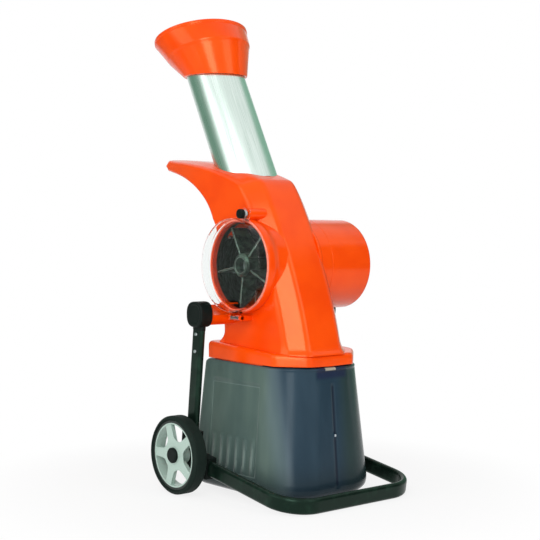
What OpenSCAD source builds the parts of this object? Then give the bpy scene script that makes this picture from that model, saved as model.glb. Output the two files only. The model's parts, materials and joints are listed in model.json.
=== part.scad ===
// Garden shredder on a two-wheeled stand. Millimetres, +Z up, front towards -Y, motor towards +X.
// Places along Y are first measured from the wheel axle, front negative, and the whole model is then
// moved so that the origin is the middle of its footprint on the floor.

/* [Stand] */
// Diameter of the wheels over the tyres
wheel_d = 180; // [150:1:220]
// Width of a tyre
tyre_w = 39; // [30:1:45]
// Diameter of the rim, under the tyre
rim_d = 159; // [130:1:165]
// Width over the outer faces of the two tyres
track_w = 493; // [480:1:540]
// Diameter of the stub axles
axle_d = 12; // [10:0.5:16]
// Diameter of the wheel hubs
hub_d = 42; // [38:1:48]
// Diameter of the hub caps
cap_d = 35; // [32:1:38]
// Height of the flat-oval stand tube
tube_h = 36; // [28:1:38]
// Thickness of the flat-oval stand tube
tube_t = 16; // [14:0.5:20]
// Wall of the stand tube
tube_wall = 2; // [1.5:0.1:3]
// Gap between an arm of the base bar and the tyre beside it
wheel_gap = 9.5; // [8:0.5:14]
// From the axle forward to the front face of the base bar
bar_reach = 362; // [350:1:400]
// Centre line radius of the bends of the base bar
bar_bend = 75; // [50:1:85]
// Rise of the arms from the front bar to the axle
arm_rise = 58; // [40:1:62]
// Wall of an axle bracket around its sockets
bracket_wall = 6; // [4:0.5:8]
// Diameter of the bracket boss around the axle
bracket_boss_d = 50; // [44:1:60]

/* [Knuckles] */
// Height of the knuckle axis
knuckle_z = 413; // [405:1:420]
// Knuckle axis ahead of the wheel axle
knuckle_ahead = 35; // [30:1:45]
// Diameter of a knuckle
knuckle_d = 60; // [54:1:64]
// Length of a knuckle along its axis
knuckle_l = 28; // [24:1:30]
// Length of the tongue that a knuckle has inside the upright, from the knuckle axis
tongue_l = 96; // [92:1:110]
// Diameter of the knuckle bolts
bolt_d = 10; // [8:1:12]

/* [Body] */
// Width of the body between its flat sides
body_w = 173; // [168:1:178]
// Middle of the head from the middle of the stand, towards the window
head_shift = 13.5; // [11:0.5:15]
// Diameter of the necks that reach from the body to the knuckles
neck_d = 52; // [44:1:54]
// Width of the flat bevel at the front corners of the body
body_bevel = 39; // [30:1:45]
// Depth of the bevel along the top edges
top_bevel = 14; // [8:1:18]
// Wall of the body casing
shell_wall = 4; // [3:0.5:5]
// Foot of the front face ahead of the axle
front_foot = 268; // [262:1:270]
// Belly of the front curve ahead of the axle
front_belly = 233; // [225:1:240]
// Top front corner ahead of the axle
brow_ahead = 104; // [98:1:112]
// Height of the top front corner
brow_z = 720; // [712:1:730]
// Back of the body behind the axle at its foot
back_foot = 1; // [-2:1:6]
// Back of the body behind the axle where the horn starts
nape_back = 35; // [30:1:40]
// Height where the horn starts
nape_z = 612; // [600:1:620]
// Tip of the horn handle behind the axle
horn_back = 262; // [240:1:275]
// Height of the top of the horn tip
horn_z = 788; // [780:1:795]
// Thickness of the horn at its tip
horn_t = 33; // [28:1:38]
// Share of the body width that the horn keeps at its tip
horn_taper = 0.74; // [0.6:0.02:0.9]
// Seam between the two casing halves, measured from the middle
seam_x = 40; // [38:1:44]

/* [Chute and hopper] */
// Outer diameter of the chute tube
chute_d = 137; // [132:1:140]
// Wall of the chute tube
chute_wall = 2.5; // [2:0.1:3]
// Lean of the chute to the back in degrees
chute_lean = 27; // [26:0.5:28]
// Chute axis ahead of the rotor axis
chute_ahead = 5; // [2:1:8]
// Lower end of the chute tube along its axis, from the level of the rotor
chute_start = 200; // [196:1:206]
// Upper end of the chute tube along its axis, from the level of the rotor
chute_end = 568; // [564:1:572]
// Tilt of the hopper mouth to the back in degrees
hopper_tilt = 15; // [12:0.5:18]
// Height of the lower edge of the hopper
collar_z = 988; // [984:1:994]
// Width of the hopper at its lower edge
collar_w = 153; // [150:1:160]
// Depth of the hopper at its lower edge
collar_depth = 165; // [162:1:172]
// Height of the middle of the hopper crease
crease_z = 1050; // [1046:1:1056]
// Middle of the hopper crease behind the axle
crease_back = 168; // [164:1:172]
// Width of the hopper at its crease
crease_w = 208; // [200:1:216]
// Depth of the hopper at its crease
crease_depth = 214; // [206:1:220]
// Height of the middle of the hopper mouth
mouth_z = 1096; // [1086:1:1110]
// Middle of the hopper mouth behind the axle
mouth_back = 201; // [194:1:208]
// Width of the hopper mouth
mouth_w = 240; // [230:1:250]
// Depth of the hopper mouth
mouth_depth = 228; // [220:1:240]
// Wall of the hopper
hopper_wall = 3.5; // [3:0.5:4.5]

/* [Window and impeller] */
// Height of the rotor axis
rotor_z = 525; // [520:1:530]
// Rotor axis ahead of the wheel axle
rotor_ahead = 92; // [88:1:96]
// Diameter of the drum face around the window
drum_d = 220; // [218:1:226]
// Diameter of the drum where it meets the body
drum_foot_d = 236; // [232:1:240]
// Drum face ahead of the side of the body
drum_proud = 23; // [20:1:26]
// Inner diameter of the impeller casing
casing_d = 200; // [198:1:202]
// Wall of the impeller casing
casing_wall = 2; // [1.5:0.5:2]
// Diameter of the impeller
impeller_d = 194; // [180:1:195]
// Count of impeller vanes
vane_count = 5; // [4:1:6]
// Thickness of an impeller vane
vane_t = 4; // [3:0.5:6]
// Diameter of the impeller hub
impeller_hub_d = 56; // [50:1:60]
// Depth of the clear cover
cover_depth = 27; // [20:1:30]
// Outer diameter of the clear cup of the cover
cover_d = 216; // [212:1:216]
// Wall of the clear cover
cover_wall = 3; // [2:0.5:4]
// Thickness of the window gasket
gasket_t = 1; // [0.8:0.1:2]
// Diameter of the thumb knob
knob_d = 22; // [20:1:24]
// Length of the thumb knob
knob_l = 18; // [15:1:22]
// Distance of the thumb knob from the rotor axis
knob_out = 121; // [121:1:124]
// Turn of the thumb knob from the top of the drum to the front in degrees
knob_turn = 15; // [12:1:18]
// Diameter of the hinge pin of the cover
hinge_pin_d = 6; // [5:0.5:7]
// Width of the hinge barrel of the cover
hinge_w = 31; // [26:1:36]

/* [Motor] */
// Outer diameter of the motor housing
motor_d = 214; // [208:1:216]
// Wall of the motor housing
motor_wall = 4; // [3:0.5:5]
// Outer end of the motor housing from the middle
motor_end = 192; // [190:1:210]
// Thickness of the motor end cap
end_cap_t = 5; // [4:0.5:6]
// Diameter of the motor shaft
shaft_d = 20; // [16:1:22]
// Outer diameter of the stator
stator_d = 160; // [150:1:166]
// Length of the stator
stator_l = 70; // [60:1:75]
// Diameter of the armature
armature_d = 95; // [80:1:100]
// Outer diameter of the bearings
bearing_d = 47; // [44:1:52]
// Width of the bearings
bearing_w = 14; // [12:1:16]
// Diameter of the cooling fan
fan_d = 150; // [120:1:170]

/* [Plinth and box] */
// Width of the plinth
plinth_w = 248; // [244:1:252]
// Front of the plinth ahead of the axle
plinth_front = 273; // [271:1:276]
// Back of the plinth behind the axle
plinth_back = 32; // [28:1:36]
// Height of the lower edge of the plinth
plinth_z = 300; // [296:1:304]
// Height of the plinth at its front
plinth_front_h = 27; // [26:1:30]
// Height of the plinth at its back
plinth_back_h = 46; // [42:1:50]
// Radius of the front corners of the plinth and the box
front_r = 100; // [80:1:105]
// Radius of the back corners of the plinth and the box
back_r = 18; // [16:1:26]
// Wall of the plinth
plinth_wall = 6; // [5:0.5:7]
// Height of the box floor's lower face
box_foot_z = 8; // [5:1:14]
// Growth of the box on each side from its shoulder to its foot
box_draft = 24; // [18:1:26]
// Overhang of the box shoulder past the plinth on each side
box_over = 4; // [3:0.5:5]
// Set of the box towards the back, from the middle of the plinth
box_set = 3.5; // [2:0.5:4]
// Wall of the box
box_wall = 4; // [3:0.5:5]
// Radius of the bottom edge of the box
box_round = 26; // [18:1:30]
// Width of the runners that carry the box
runner_w = 7; // [6:0.5:9]
// Thickness of the runners and of the box rim
runner_t = 4; // [3:0.5:5]

/* [Switch] */
// Width of the switch plate
switch_w = 70; // [64:1:76]
// Height of the switch plate
switch_h = 52; // [48:1:56]
// Diameter of the start and stop buttons
button_d = 22; // [18:1:24]
// Travel of the buttons
button_travel = 3; // [2:0.5:4]

/* [Clearances] */
// Gap between fitted pieces
fit_gap = 0.3; // [0.2:0.05:0.5]
// Radial gap of a turning fit
running_gap = 0.05; // [0.02:0.01:0.08]

/* [Hidden] */
$fn = 72;
few = 32;
tiny = 0.01;
over = 1;
big = 900;

orange = "#f8540e";
black = "#171a19";
rubber = "#1d1f1e";
silver = "#c9cfcd";
steel = "#8f9698";
dark_steel = "#4a5150";
smoke = "#46565e";
clear = "#dfe9ea";

// Chute axis and the middle of the footprint
rotor_y = -rotor_ahead;
chute_y = rotor_y - chute_ahead;
chute_r = chute_d / 2;
hopper_back = mouth_back + mouth_depth / 2 * cos(hopper_tilt);
axle_y = (bar_reach - hopper_back) / 2;

// Stand
wheel_r = wheel_d / 2;
tyre_out = track_w / 2;
tyre_in = tyre_out - tyre_w;
bar_w = track_w - 2 * tyre_w - 2 * wheel_gap;
tube_x = (bar_w - tube_t) / 2;
bar_y = -bar_reach + tube_t / 2;
arm_angle = atan(arm_rise / -bar_y);
bar_z = (tube_h - tube_t) / 2 * cos(arm_angle) + tube_t / 2;
arm_seat = 50;
arm_l = (-bar_y - arm_seat) / cos(arm_angle);
socket_l = 26;
bracket_half = tube_t / 2 + bracket_wall;
socket_half = bracket_half - 1.5;
socket_h = tube_h + 2 * fit_gap;
socket_t = tube_t + 2 * fit_gap;
bracket_in = tube_x - bracket_half;
bracket_out = tube_x + bracket_half;
hub_in = bracket_out + 5;
hub_out = tyre_out - 5.5;
hub_bore_d = axle_d + 5;
axle_end = hub_out + 3.5;
axle_head = 3;
collar_d = axle_d + 7;
cap_l = 7.5;
lean_angle = atan(knuckle_ahead / (knuckle_z - wheel_r));
upright_l = norm([knuckle_ahead, knuckle_z - wheel_r]);
upright_foot = bracket_boss_d / 2 + 4;
upright_head = knuckle_d / 2 + 6;
knuckle_in = tube_x - knuckle_l / 2;
knuckle_out = tube_x + knuckle_l / 2;
neck_seat = 4;
first_screw = 10;
screw_pitch = 40;
upright_screws_at = [upright_head + first_screw, upright_head + first_screw + screw_pitch];
screw_head_d = 9;
screw_d = 5;
screw_head_h = 2.5;
foot_screw_l = 20;
seam_screw_l = 12;
seam_head_h = 3;

// Body
side_left = body_w / 2 + head_shift;
side_right = body_w / 2 - head_shift;
foot_z = plinth_z + plinth_front_h - 8;
belly_z = 510;
back_mid = [4, 480];
horn_bow = [67, 725];
top_bow = [32, 775];
edge_round = 8;
tip_round = 9;
plinth_tilt = atan((plinth_back_h - plinth_front_h) / (plinth_front + plinth_back));
drum_face = side_left + drum_proud;
drum_in = side_left - body_bevel;
drum_rear_d = drum_foot_d - 10;

// Impeller and its casing
casing_r = casing_d / 2;
casing_out_r = casing_r + casing_wall;
casing_in = 17;
casing_face = drum_face - 2;
port_in = casing_in + 6;
port_out = body_w / 2 - shell_wall - 0.5;
port_half = 46;
impeller_back = 30;
impeller_front = 108;
hub_nose = 118;
nut_seat = 22;

// Cover
gasket_face = drum_face + gasket_t;
cover_face = gasket_face + fit_gap;
neck_relief = max(knuckle_in - neck_seat, cover_face + cover_depth + fit_gap);
swing_room = 8;
flange_t = 3.5;
tab_t = 4;
knob_y = rotor_y - knob_out * sin(knob_turn);
knob_z = rotor_z + knob_out * cos(knob_turn);
knob_face = cover_face + tab_t + fit_gap;
knob_boss_r = 13;
knob_boss_in = side_left - 26;
shank_d = 8;
shank_l = 14;
hinge_x = cover_face + 6.5;
hinge_z = rotor_z - drum_d / 2 - 10;
barrel_r = hinge_pin_d / 2 + 3;
ear_w = 6;

// Motor
motor_r = motor_d / 2;
bracket_plate = 8;
stator_at = 28;
armature_gap = 1.5;
bearing_at = -casing_in + bracket_plate + 2;
rear_bearing_at = 150;
shaft_end = rear_bearing_at + bearing_w + 4;
fan_at = stator_at + stator_l + 16;
fan_l = 16;

// Switch and inlet
switch_y = -158;
switch_z = plinth_z + 78;
switch_proud = 14;
switch_deep = 34;
button_y = [-17, 17];
inlet_y = -95;
inlet_z = plinth_z + 66;
inlet_w = 40;
inlet_h = 28;
plate_edge = 5;
button_deep = 12;

// Fixings of the body
lug_spots = [[-212, 400], [-14, 366], [5, 622]];
foot_spots = [[-80, -212], [-80, -30], [50, -212], [50, -30]];
motor_screw_r = motor_r - motor_wall - 4;
motor_flange_t = 4;

// Box
shoulder_z = plinth_z - 16;
box_base_z = box_foot_z + box_round;
box_rise = shoulder_z - box_base_z;
draft_angle = atan((box_draft - box_over) / box_rise);
neck_grow = -plinth_wall - runner_w - fit_gap - 0.5;
rim_grow = -plinth_wall - fit_gap - 0.4;
rim_z = plinth_z + runner_t + fit_gap;
panel_front = -178;
panel_back = -4;
panel_low = 50;
panel_high = 255;
panel_deep = 2;
panel_ribs = 6;

// Hopper
hopper_points = 48;
mouth_at = [mouth_back, mouth_z];
crease_at = [crease_back, crease_z];
mouth_up = [sin(hopper_tilt), cos(hopper_tilt)];
rim_band = 9;
seat_lip = 4;
duct_neck = 24;

// Blades
blade_l = 34;
blade_w = 26;
blade_t = 3;
first_vane = -100;

// Helpers

// Moves what is placed from the wheel axle into the frame of the model
module from_axle() { translate([0, axle_y, 0]) children(); }

module at_rotor() { from_axle() translate([0, rotor_y, rotor_z]) children(); }

// Z runs up along the chute axis, from the level of the rotor
module along_chute() {
    from_axle() translate([-head_shift, chute_y, rotor_z]) rotate([-chute_lean, 0, 0]) children();
}

// Round bar along X between two places
module rod_x(r, from, to) { translate([from, 0, 0]) rotate([0, 90, 0]) cylinder(r = r, h = to - from); }

// Revolves a profile of [radius, place] points about X, with places growing towards +X
module turned_x(profile) { rotate([90, 0, 90]) rotate_extrude() polygon(profile); }

module tube_section(h, t) {
    square([t, h - t], center = true);
    for (s = [-1, 1]) translate([0, s * (h - t) / 2]) circle(d = t);
}

function bow(a, b, c, n) =
    [for (i = [0 : n]) let(t = i / n) a * (1 - t) * (1 - t) + b * 2 * t * (1 - t) + c * t * t];

// Faces that close a ring of n points: one flat face, or a ladder of triangles across it
function flat_end(n) = [[for (i = [0 : n - 1]) i]];

function ladder_end(n) = concat([[floor(n / 2) - 1, floor(n / 2), floor(n / 2) + 1]],
    [for (i = [0 : floor(n / 2) - 2], half = [0, 1])
        half == 0 ? [i, i + 1, n - 2 - i] : [i, n - 2 - i, n - 1 - i]]);

// Skin over rings of equally many points, closed at both ends
module loft(rings, end) {
    n = len(rings[0]);
    m = len(rings);
    ends = concat(end, [for (f = end) [for (i = [len(f) - 1 : -1 : 0]) f[i] + (m - 1) * n]]);
    sides = [for (k = [0 : m - 2], i = [0 : n - 1], half = [0, 1])
        let(j = (i + 1) % n, a = k * n + i, b = k * n + j, c = a + n, d = b + n)
        half == 0 ? [a, c, d] : [a, d, b]];
    polyhedron(points = [for (r = rings) each r], faces = concat(ends, sides), convexity = 8);
}

// Everything below the sloped top of the plinth, lowered by drop
module below_plinth_top(drop) {
    from_axle() translate([0, -plinth_front, plinth_z + plinth_front_h - drop]) rotate([plinth_tilt, 0, 0])
        translate([-big / 2, -big / 2, -big]) cube([big, big, big]);
}

// Stand

module bar_run(h, t, spare) {
    straight = 2 * (tube_x - bar_bend);
    rotate([90, 0, 90]) linear_extrude(straight, center = true) tube_section(h, t);
    for (s = [-1, 1]) {
        translate([s * tube_x, arm_l + spare, 0]) rotate([90, 0, 0])
            linear_extrude(arm_l + spare - bar_bend) tube_section(h, t);
        translate([s * (tube_x - bar_bend), bar_bend, 0]) rotate([0, 0, s > 0 ? -90 : 180])
            rotate_extrude(angle = 90) translate([bar_bend, 0]) tube_section(h, t);
    }
}

module along_bar() { from_axle() translate([0, bar_y, bar_z]) rotate([arm_angle, 0, 0]) children(); }

module base_bar() {
    color(black) along_bar() difference() {
        bar_run(tube_h, tube_t, 0);
        bar_run(tube_h - 2 * tube_wall, tube_t - 2 * tube_wall, over);
    }
}

// Z runs up along an upright from the axle, on the side s
module along_upright(s) {
    from_axle() translate([s * tube_x, 0, wheel_r]) rotate([lean_angle, 0, 0]) children();
}

module upright_run(h, t, from, to) {
    translate([0, 0, from]) linear_extrude(to - from) tube_section(h, t);
}

module axle_bracket(s) {
    color(black) difference() {
        union() {
            from_axle() translate([0, 0, wheel_r])
                rod_x(bracket_boss_d / 2, s * tube_x - bracket_half, s * tube_x + bracket_half);
            along_upright(s) translate([-socket_half, -tube_h / 2 - bracket_wall, 0])
                cube([2 * socket_half, tube_h + 2 * bracket_wall, upright_foot + socket_l]);
            along_bar() translate([s * tube_x, arm_l - socket_l, -tube_h / 2 - bracket_wall])
                translate([-socket_half - 0.5, 0, 0])
                    cube([2 * socket_half + 1, socket_l + arm_seat + 12, tube_h + 2 * bracket_wall]);
        }
        from_axle() translate([s * tube_x, 0, wheel_r])
            rod_x(axle_d / 2 + running_gap, -bracket_half - over, bracket_half + over);
        along_upright(s) upright_run(socket_h, socket_t, upright_foot, upright_foot + socket_l + over);
        along_bar() translate([s * tube_x, arm_l, 0]) rotate([90, 0, 0])
            linear_extrude(socket_l + over) tube_section(socket_h, socket_t);
    }
}

module left_axle_bracket() { axle_bracket(-1); }

module right_axle_bracket() { axle_bracket(1); }

module screw_hole(s, at, spare) {
    along_upright(s) translate([0, 0, upright_l - at]) rotate([0, s * 90, 0]) translate([0, 0, -over])
        cylinder(d = screw_d + spare, h = tube_t);
}

module upright(s) {
    color(black) difference() {
        along_upright(s) difference() {
            upright_run(tube_h, tube_t, upright_foot, upright_l - upright_head);
            upright_run(tube_h - 2 * tube_wall, tube_t - 2 * tube_wall, 0, upright_l);
        }
        for (at = upright_screws_at) screw_hole(s, at, 2 * fit_gap);
    }
}

module left_upright() { upright(-1); }

module right_upright() { upright(1); }

// Axis of the neck and the knuckle on the side s, with places growing outwards
module on_neck(s) {
    from_axle() translate([0, -knuckle_ahead, knuckle_z]) mirror([s < 0 ? 1 : 0, 0, 0]) children();
}

module knuckle(s) {
    rim = 5;
    sleeve = 4;
    r = knuckle_d / 2;
    tongue_h = tube_h - 2 * tube_wall - 2 * fit_gap;
    tongue_t = tube_t - 2 * tube_wall - 2 * fit_gap;
    color(black) difference() {
        union() {
            on_neck(s) turned_x([[0, knuckle_in], [r, knuckle_in], [r, knuckle_out - rim],
                [r - rim * 0.3, knuckle_out - rim * 0.3], [r - rim, knuckle_out], [0, knuckle_out]]);
            along_upright(s) {
                upright_run(tube_h + sleeve, tube_t + sleeve, upright_l - upright_head, upright_l - r / 2);
                upright_run(tongue_h, tongue_t, upright_l - tongue_l, upright_l - r / 2);
            }
        }
        on_neck(s) rod_x(bolt_d / 2 + running_gap, knuckle_in - over, knuckle_in + knuckle_l * 0.7);
        if (s > 0) at_rotor() rod_x(motor_r + 1, side_right, motor_end + end_cap_t + 2);
        for (at = upright_screws_at) screw_hole(s, at, 2 * running_gap);
    }
}

module left_knuckle() { knuckle(-1); }

module right_knuckle() { knuckle(1); }

module stub_axle(s) {
    color(steel) from_axle() translate([0, 0, wheel_r]) mirror([s < 0 ? 1 : 0, 0, 0]) {
        rod_x(axle_d / 2, bracket_in - axle_head, axle_end);
        rod_x(collar_d / 2, bracket_in - axle_head, bracket_in);
        rod_x(collar_d / 2, bracket_out, hub_in - fit_gap);
    }
}

module left_axle() { stub_axle(-1); }

module right_axle() { stub_axle(1); }

module axle_retainers() {
    washer = 1.6;
    color(steel) from_axle() for (s = [-1, 1]) translate([0, 0, wheel_r]) mirror([s < 0 ? 1 : 0, 0, 0])
        difference() {
            rod_x(collar_d / 2, hub_out + fit_gap, hub_out + fit_gap + washer);
            rod_x(axle_d / 2 + running_gap, hub_out, hub_out + 2 * washer);
        }
}

module upright_screws() {
    color(silver) for (s = [-1, 1], at = upright_screws_at)
        along_upright(s) translate([0, 0, upright_l - at]) rotate([0, s * 90, 0]) {
            cylinder(d = screw_d, h = tube_t / 2 + tiny);
            translate([0, 0, tube_t / 2])
                cylinder(d1 = screw_head_d, d2 = screw_head_d - 2, h = screw_head_h);
        }
}

module knuckle_bolts() {
    head = 7;
    color(steel) for (s = [-1, 1]) {
        inner = (s < 0 ? side_left : side_right) - shell_wall;
        on_neck(s) rod_x(bolt_d / 2, inner - head, knuckle_in + knuckle_l * 0.65);
        on_neck(s) rod_x(bolt_d * 0.85, inner - head, inner);
    }
}

// Wheels, drawn on the right and mirrored

module on_axle(s) { from_axle() translate([0, 0, wheel_r]) mirror([s < 0 ? 1 : 0, 0, 0]) children(); }

module tyre(s) {
    rim_r = rim_d / 2 + fit_gap;
    shoulder = 6;
    step = 2;
    color(rubber) on_axle(s) turned_x([[rim_r, tyre_in + shoulder], [rim_r + step, tyre_in],
        [wheel_r - shoulder, tyre_in], [wheel_r - 1.5, tyre_in + step], [wheel_r, tyre_in + shoulder],
        [wheel_r, tyre_out - shoulder], [wheel_r - 1.5, tyre_out - step], [wheel_r - shoulder, tyre_out],
        [rim_r + step, tyre_out], [rim_r, tyre_out - shoulder]]);
}

module left_tyre() { tyre(-1); }

module right_tyre() { tyre(1); }

module rim(s) {
    spokes = 5;
    first_spoke = -90;
    rim_r = rim_d / 2;
    ring = 9;
    spoke_w = 20;
    face = tyre_out - 5;
    back = tyre_in + 7;
    color(silver) on_axle(s) difference() {
        union() {
            turned_x([[rim_r - ring, back], [rim_r, back], [rim_r, face], [rim_r - ring, face]]);
            rod_x(hub_d / 2, hub_in, hub_out);
            for (i = [0 : spokes - 1]) rotate([first_spoke + i * 360 / spokes, 0, 0])
                translate([face - 12, -spoke_w / 2, hub_d / 2 - 4])
                    cube([10, spoke_w, rim_r - ring - hub_d / 2 + 6]);
        }
        rod_x(hub_bore_d / 2, hub_in - over, hub_out + over);
        for (i = [0 : spokes - 1]) rotate([first_spoke + i * 360 / spokes, 0, 0])
            translate([face - 6, 0, 0]) rotate([0, 90, 0]) linear_extrude(10)
                polygon([[-rim_r + ring + 5, -5], [-rim_r + ring + 5, 5], [-hub_d / 2 - 6, 0]]);
    }
}

module left_rim() { rim(-1); }

module right_rim() { rim(1); }

module bush(s) {
    color("white") on_axle(s) difference() {
        rod_x(hub_bore_d / 2 - running_gap, hub_in, hub_out);
        rod_x(axle_d / 2 + running_gap, hub_in - over, hub_out + over);
    }
}

module left_bush() { bush(-1); }

module right_bush() { bush(1); }

module hub_cap(s) {
    r = cap_d / 2;
    dome = 2.5;
    color(black) on_axle(s) turned_x([[r - 4, hub_out], [r, hub_out], [r, hub_out + cap_l - dome],
        [r - dome, hub_out + cap_l], [0, hub_out + cap_l], [0, hub_out + cap_l - 2.5],
        [r - 4, hub_out + cap_l - 2.5]]);
}

module left_hub_cap() { hub_cap(-1); }

module right_hub_cap() { hub_cap(1); }

// Body casing

// Side outline of the body, inset by wall, with k from 0 at the middle to 1 at the flat sides
function body_outline(wall, k) = let(
    drop = wall > 0 ? 60 : 0,
    front = bow([-front_foot, foot_z], [-front_belly, belly_z], [-brow_ahead, brow_z], 8),
    top = bow([-brow_ahead, brow_z], top_bow, [horn_back, horn_z], 12),
    tip_top = [horn_back, horn_z] - [wall + k * edge_round, wall + k * top_bevel],
    tip_foot = [horn_back, horn_z - horn_t] + [-wall - k * edge_round, wall + k * edge_round / 2],
    under = bow([horn_back, horn_z - horn_t], horn_bow, [nape_back, nape_z], 13),
    back = bow([nape_back, nape_z], back_mid, [back_foot, foot_z], 7)) concat(
    [for (i = [0 : 7]) front[i] + [wall * 1.15 + k * body_bevel, i == 0 ? -drop : 0]],
    [brow_corner(wall, k)],
    [for (i = [1 : 11]) top[i] + [brow_shift(wall, k) * pow(1 - i / 12, 3), -wall - k * top_bevel]],
    [for (i = [0 : 4]) tip_top + (tip_foot - tip_top) * i / 4 + [tip_round * sin(i * 45), 0]],
    [for (i = [1 : 12]) under[i] + [-wall / 2, wall + k * edge_round / 2]],
    [for (i = [0 : 7]) back[i] + [-wall - k * edge_round, i == 7 ? -drop : 0]]);

function brow_shift(wall, k) = wall * 1.3 + k * body_bevel * 0.9;

function brow_corner(wall, k) = [brow_shift(wall, k) - brow_ahead, brow_z - wall - k * top_bevel];

// Share of the width at a place behind the axle: full on the body, narrowing along the horn
function width_share(y) = 1 - (1 - horn_taper) * pow(max(0, min(1, (y - 90) / (horn_back - 90))), 1.5);

function body_ring(x, wall, k) =
    [for (p = body_outline(wall, k)) [x * width_share(p[0]) - head_shift, p[0], p[1]]];

module body_form(wall) {
    side = body_w / 2 - wall;
    flat = body_w / 2 - body_bevel;
    from_axle() loft([body_ring(side, wall, 1), body_ring(flat, wall, 0), body_ring(-flat, wall, 0),
        body_ring(-side, wall, 1)], ladder_end(len(body_outline(0, 0))));
}

// Necks to the knuckles, with room for the window cover and the motor housing
module left_neck() {
    difference() {
        on_neck(-1) rod_x(neck_d / 2, side_left - shell_wall, knuckle_in);
        at_rotor() mirror([1, 0, 0]) rod_x(drum_d / 2 + swing_room, drum_face, neck_relief);
    }
}

module right_neck() {
    difference() {
        on_neck(1) rod_x(neck_d / 2, side_right - shell_wall, knuckle_in);
        at_rotor() rod_x(motor_r + fit_gap, side_right, knuckle_in + over);
    }
}

module knob_rod(r, from, to) {
    from_axle() translate([0, knob_y, knob_z]) mirror([1, 0, 0]) rod_x(r, from, to);
}

module chute_collar() {
    collar_wall = 6;
    intersection() {
        body_form(shell_wall / 2);
        along_chute() difference() {
            translate([0, 0, chute_start - 5]) cylinder(r = chute_r + collar_wall, h = 150);
            translate([0, 0, chute_start]) cylinder(r = chute_r + fit_gap, h = 150);
            translate([0, 0, chute_start - 6]) cylinder(r = chute_r - 2, h = 20);
        }
    }
}

module drum() {
    at_rotor() mirror([1, 0, 0]) turned_x([[0, drum_in], [drum_rear_d / 2, drum_in],
        [drum_foot_d / 2, side_left - 14], [drum_d / 2, drum_face], [0, drum_face]]);
}

// Room for the ducts through the wall of the drum
module duct_room() {
    spare = 10;
    translate([-port_out - fit_gap, -port_half - spare, 0])
        cube([port_out, 2 * (port_half + spare), drum_foot_d / 2 + 6]);
}

module hinge_ears() {
    apart = (hinge_w + ear_w + 2 * fit_gap) / 2;
    from_axle() for (s = [-1, 1]) translate([-hinge_x, rotor_y + s * apart, hinge_z])
        rotate([90, 0, 0]) linear_extrude(ear_w, center = true) difference() {
            union() {
                circle(r = barrel_r);
                translate([0, -barrel_r]) square([hinge_x - side_left + 2, 2 * barrel_r]);
            }
            circle(d = hinge_pin_d + 2 * running_gap);
        }
}

module seam_lugs(from, to) {
    lug = 9;
    intersection() {
        body_form(shell_wall / 2);
        from_axle() for (p = lug_spots) translate([from, p[0], p[1]]) {
            rotate([0, 90, 0]) cylinder(r = lug, h = to - from);
            translate([0, p[0] < -50 ? -60 : 0, -lug]) cube([to - from, 60, 2 * lug]);
        }
    }
}

module foot_posts(side) {
    post = 8;
    from_axle() for (p = foot_spots) if (p[0] * side > 0) {
        translate([p[0], p[1], plinth_z]) cylinder(r = post, h = 75);
        translate([side > 0 ? p[0] : 2 - side_left, p[1] - 2, plinth_z])
            cube([(side > 0 ? side_right : side_left) - abs(p[0]) - 2, 4, 75]);
    }
}

module casing_halves() {
    difference() {
        union() {
            difference() {
                union() {
                    body_form(0);
                    drum();
                    knob_rod(knob_boss_r, knob_boss_in, drum_face + gasket_t);
                }
                difference() {
                    body_form(shell_wall);
                    drum();
                    knob_rod(knob_boss_r, knob_boss_in, side_left);
                }
                along_chute() translate([0, 0, chute_start]) cylinder(r = chute_r + fit_gap, h = 200);
                along_chute() translate([0, 0, chute_start - duct_neck])
                    cylinder(r = chute_r - chute_wall, h = duct_neck + over);
            }
            chute_collar();
            left_neck();
            right_neck();
            at_rotor() rod_x(motor_r, seam_x, side_right);
            foot_posts(-1);
            foot_posts(1);
            hinge_ears();
        }
        at_rotor() mirror([1, 0, 0])
            rod_x(casing_out_r + fit_gap, casing_in - bracket_plate - over, drum_face + over);
        along_chute() duct_room();
        at_rotor() mirror([0, 0, 1]) duct_room();
        at_rotor() rod_x(motor_r - motor_wall - 8, seam_x - over, side_right + over);
        knob_rod(shank_d / 2 + 2.2, 60, drum_face + gasket_t + over);
        for (s = [-1, 1]) on_neck(s) rod_x(bolt_d / 2 + running_gap, 0, knuckle_in + over);
        from_axle() for (p = foot_spots)
            translate([p[0], p[1], plinth_z]) cylinder(d = screw_d + 2 * running_gap, h = 60);
        below_plinth_top(0);
    }
}

module body_shell() {
    color(orange) difference() {
        union() {
            intersection() {
                casing_halves();
                translate([-big + seam_x, -big / 2, 0]) cube([big, big, big]);
            }
            seam_lugs(seam_x - 16, seam_x);
        }
        from_axle() for (p = lug_spots)
            translate([0, p[0], p[1]])
                rod_x(screw_d / 2 + running_gap, seam_x - seam_screw_l - 2, seam_x + over);
    }
}

// Hole in the side of the body behind a plate of width w and height h
module side_hole(y, z, w, h) {
    hole_w = w - 2 * plate_edge + 2 * fit_gap;
    hole_h = h - 2 * plate_edge + 2 * fit_gap;
    from_axle() translate([side_right, y, z]) cube([40, hole_w, hole_h], center = true);
}

module at_motor_screws() {
    at_rotor() for (i = [0 : 3]) rotate([45 + 90 * i, 0, 0]) translate([0, 0, motor_screw_r]) children();
}

module side_cover() {
    color(orange) difference() {
        union() {
            intersection() {
                casing_halves();
                translate([seam_x, -big / 2, 0]) cube([big, big, big]);
            }
            seam_lugs(seam_x, side_right - shell_wall / 2);
        }
        from_axle() for (p = lug_spots) translate([0, p[0], p[1]]) {
            rod_x(screw_d / 2 + fit_gap, seam_x - over, side_right + over);
            rod_x(screw_head_d / 2 + fit_gap, seam_x + seam_screw_l, side_right + over);
        }
        side_hole(switch_y, switch_z, switch_w, switch_h);
        side_hole(inlet_y, inlet_z, inlet_w, inlet_h);
        at_motor_screws()
            rod_x(screw_d / 2 + running_gap, side_right - shell_wall - over, side_right + over);
    }
}

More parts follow.
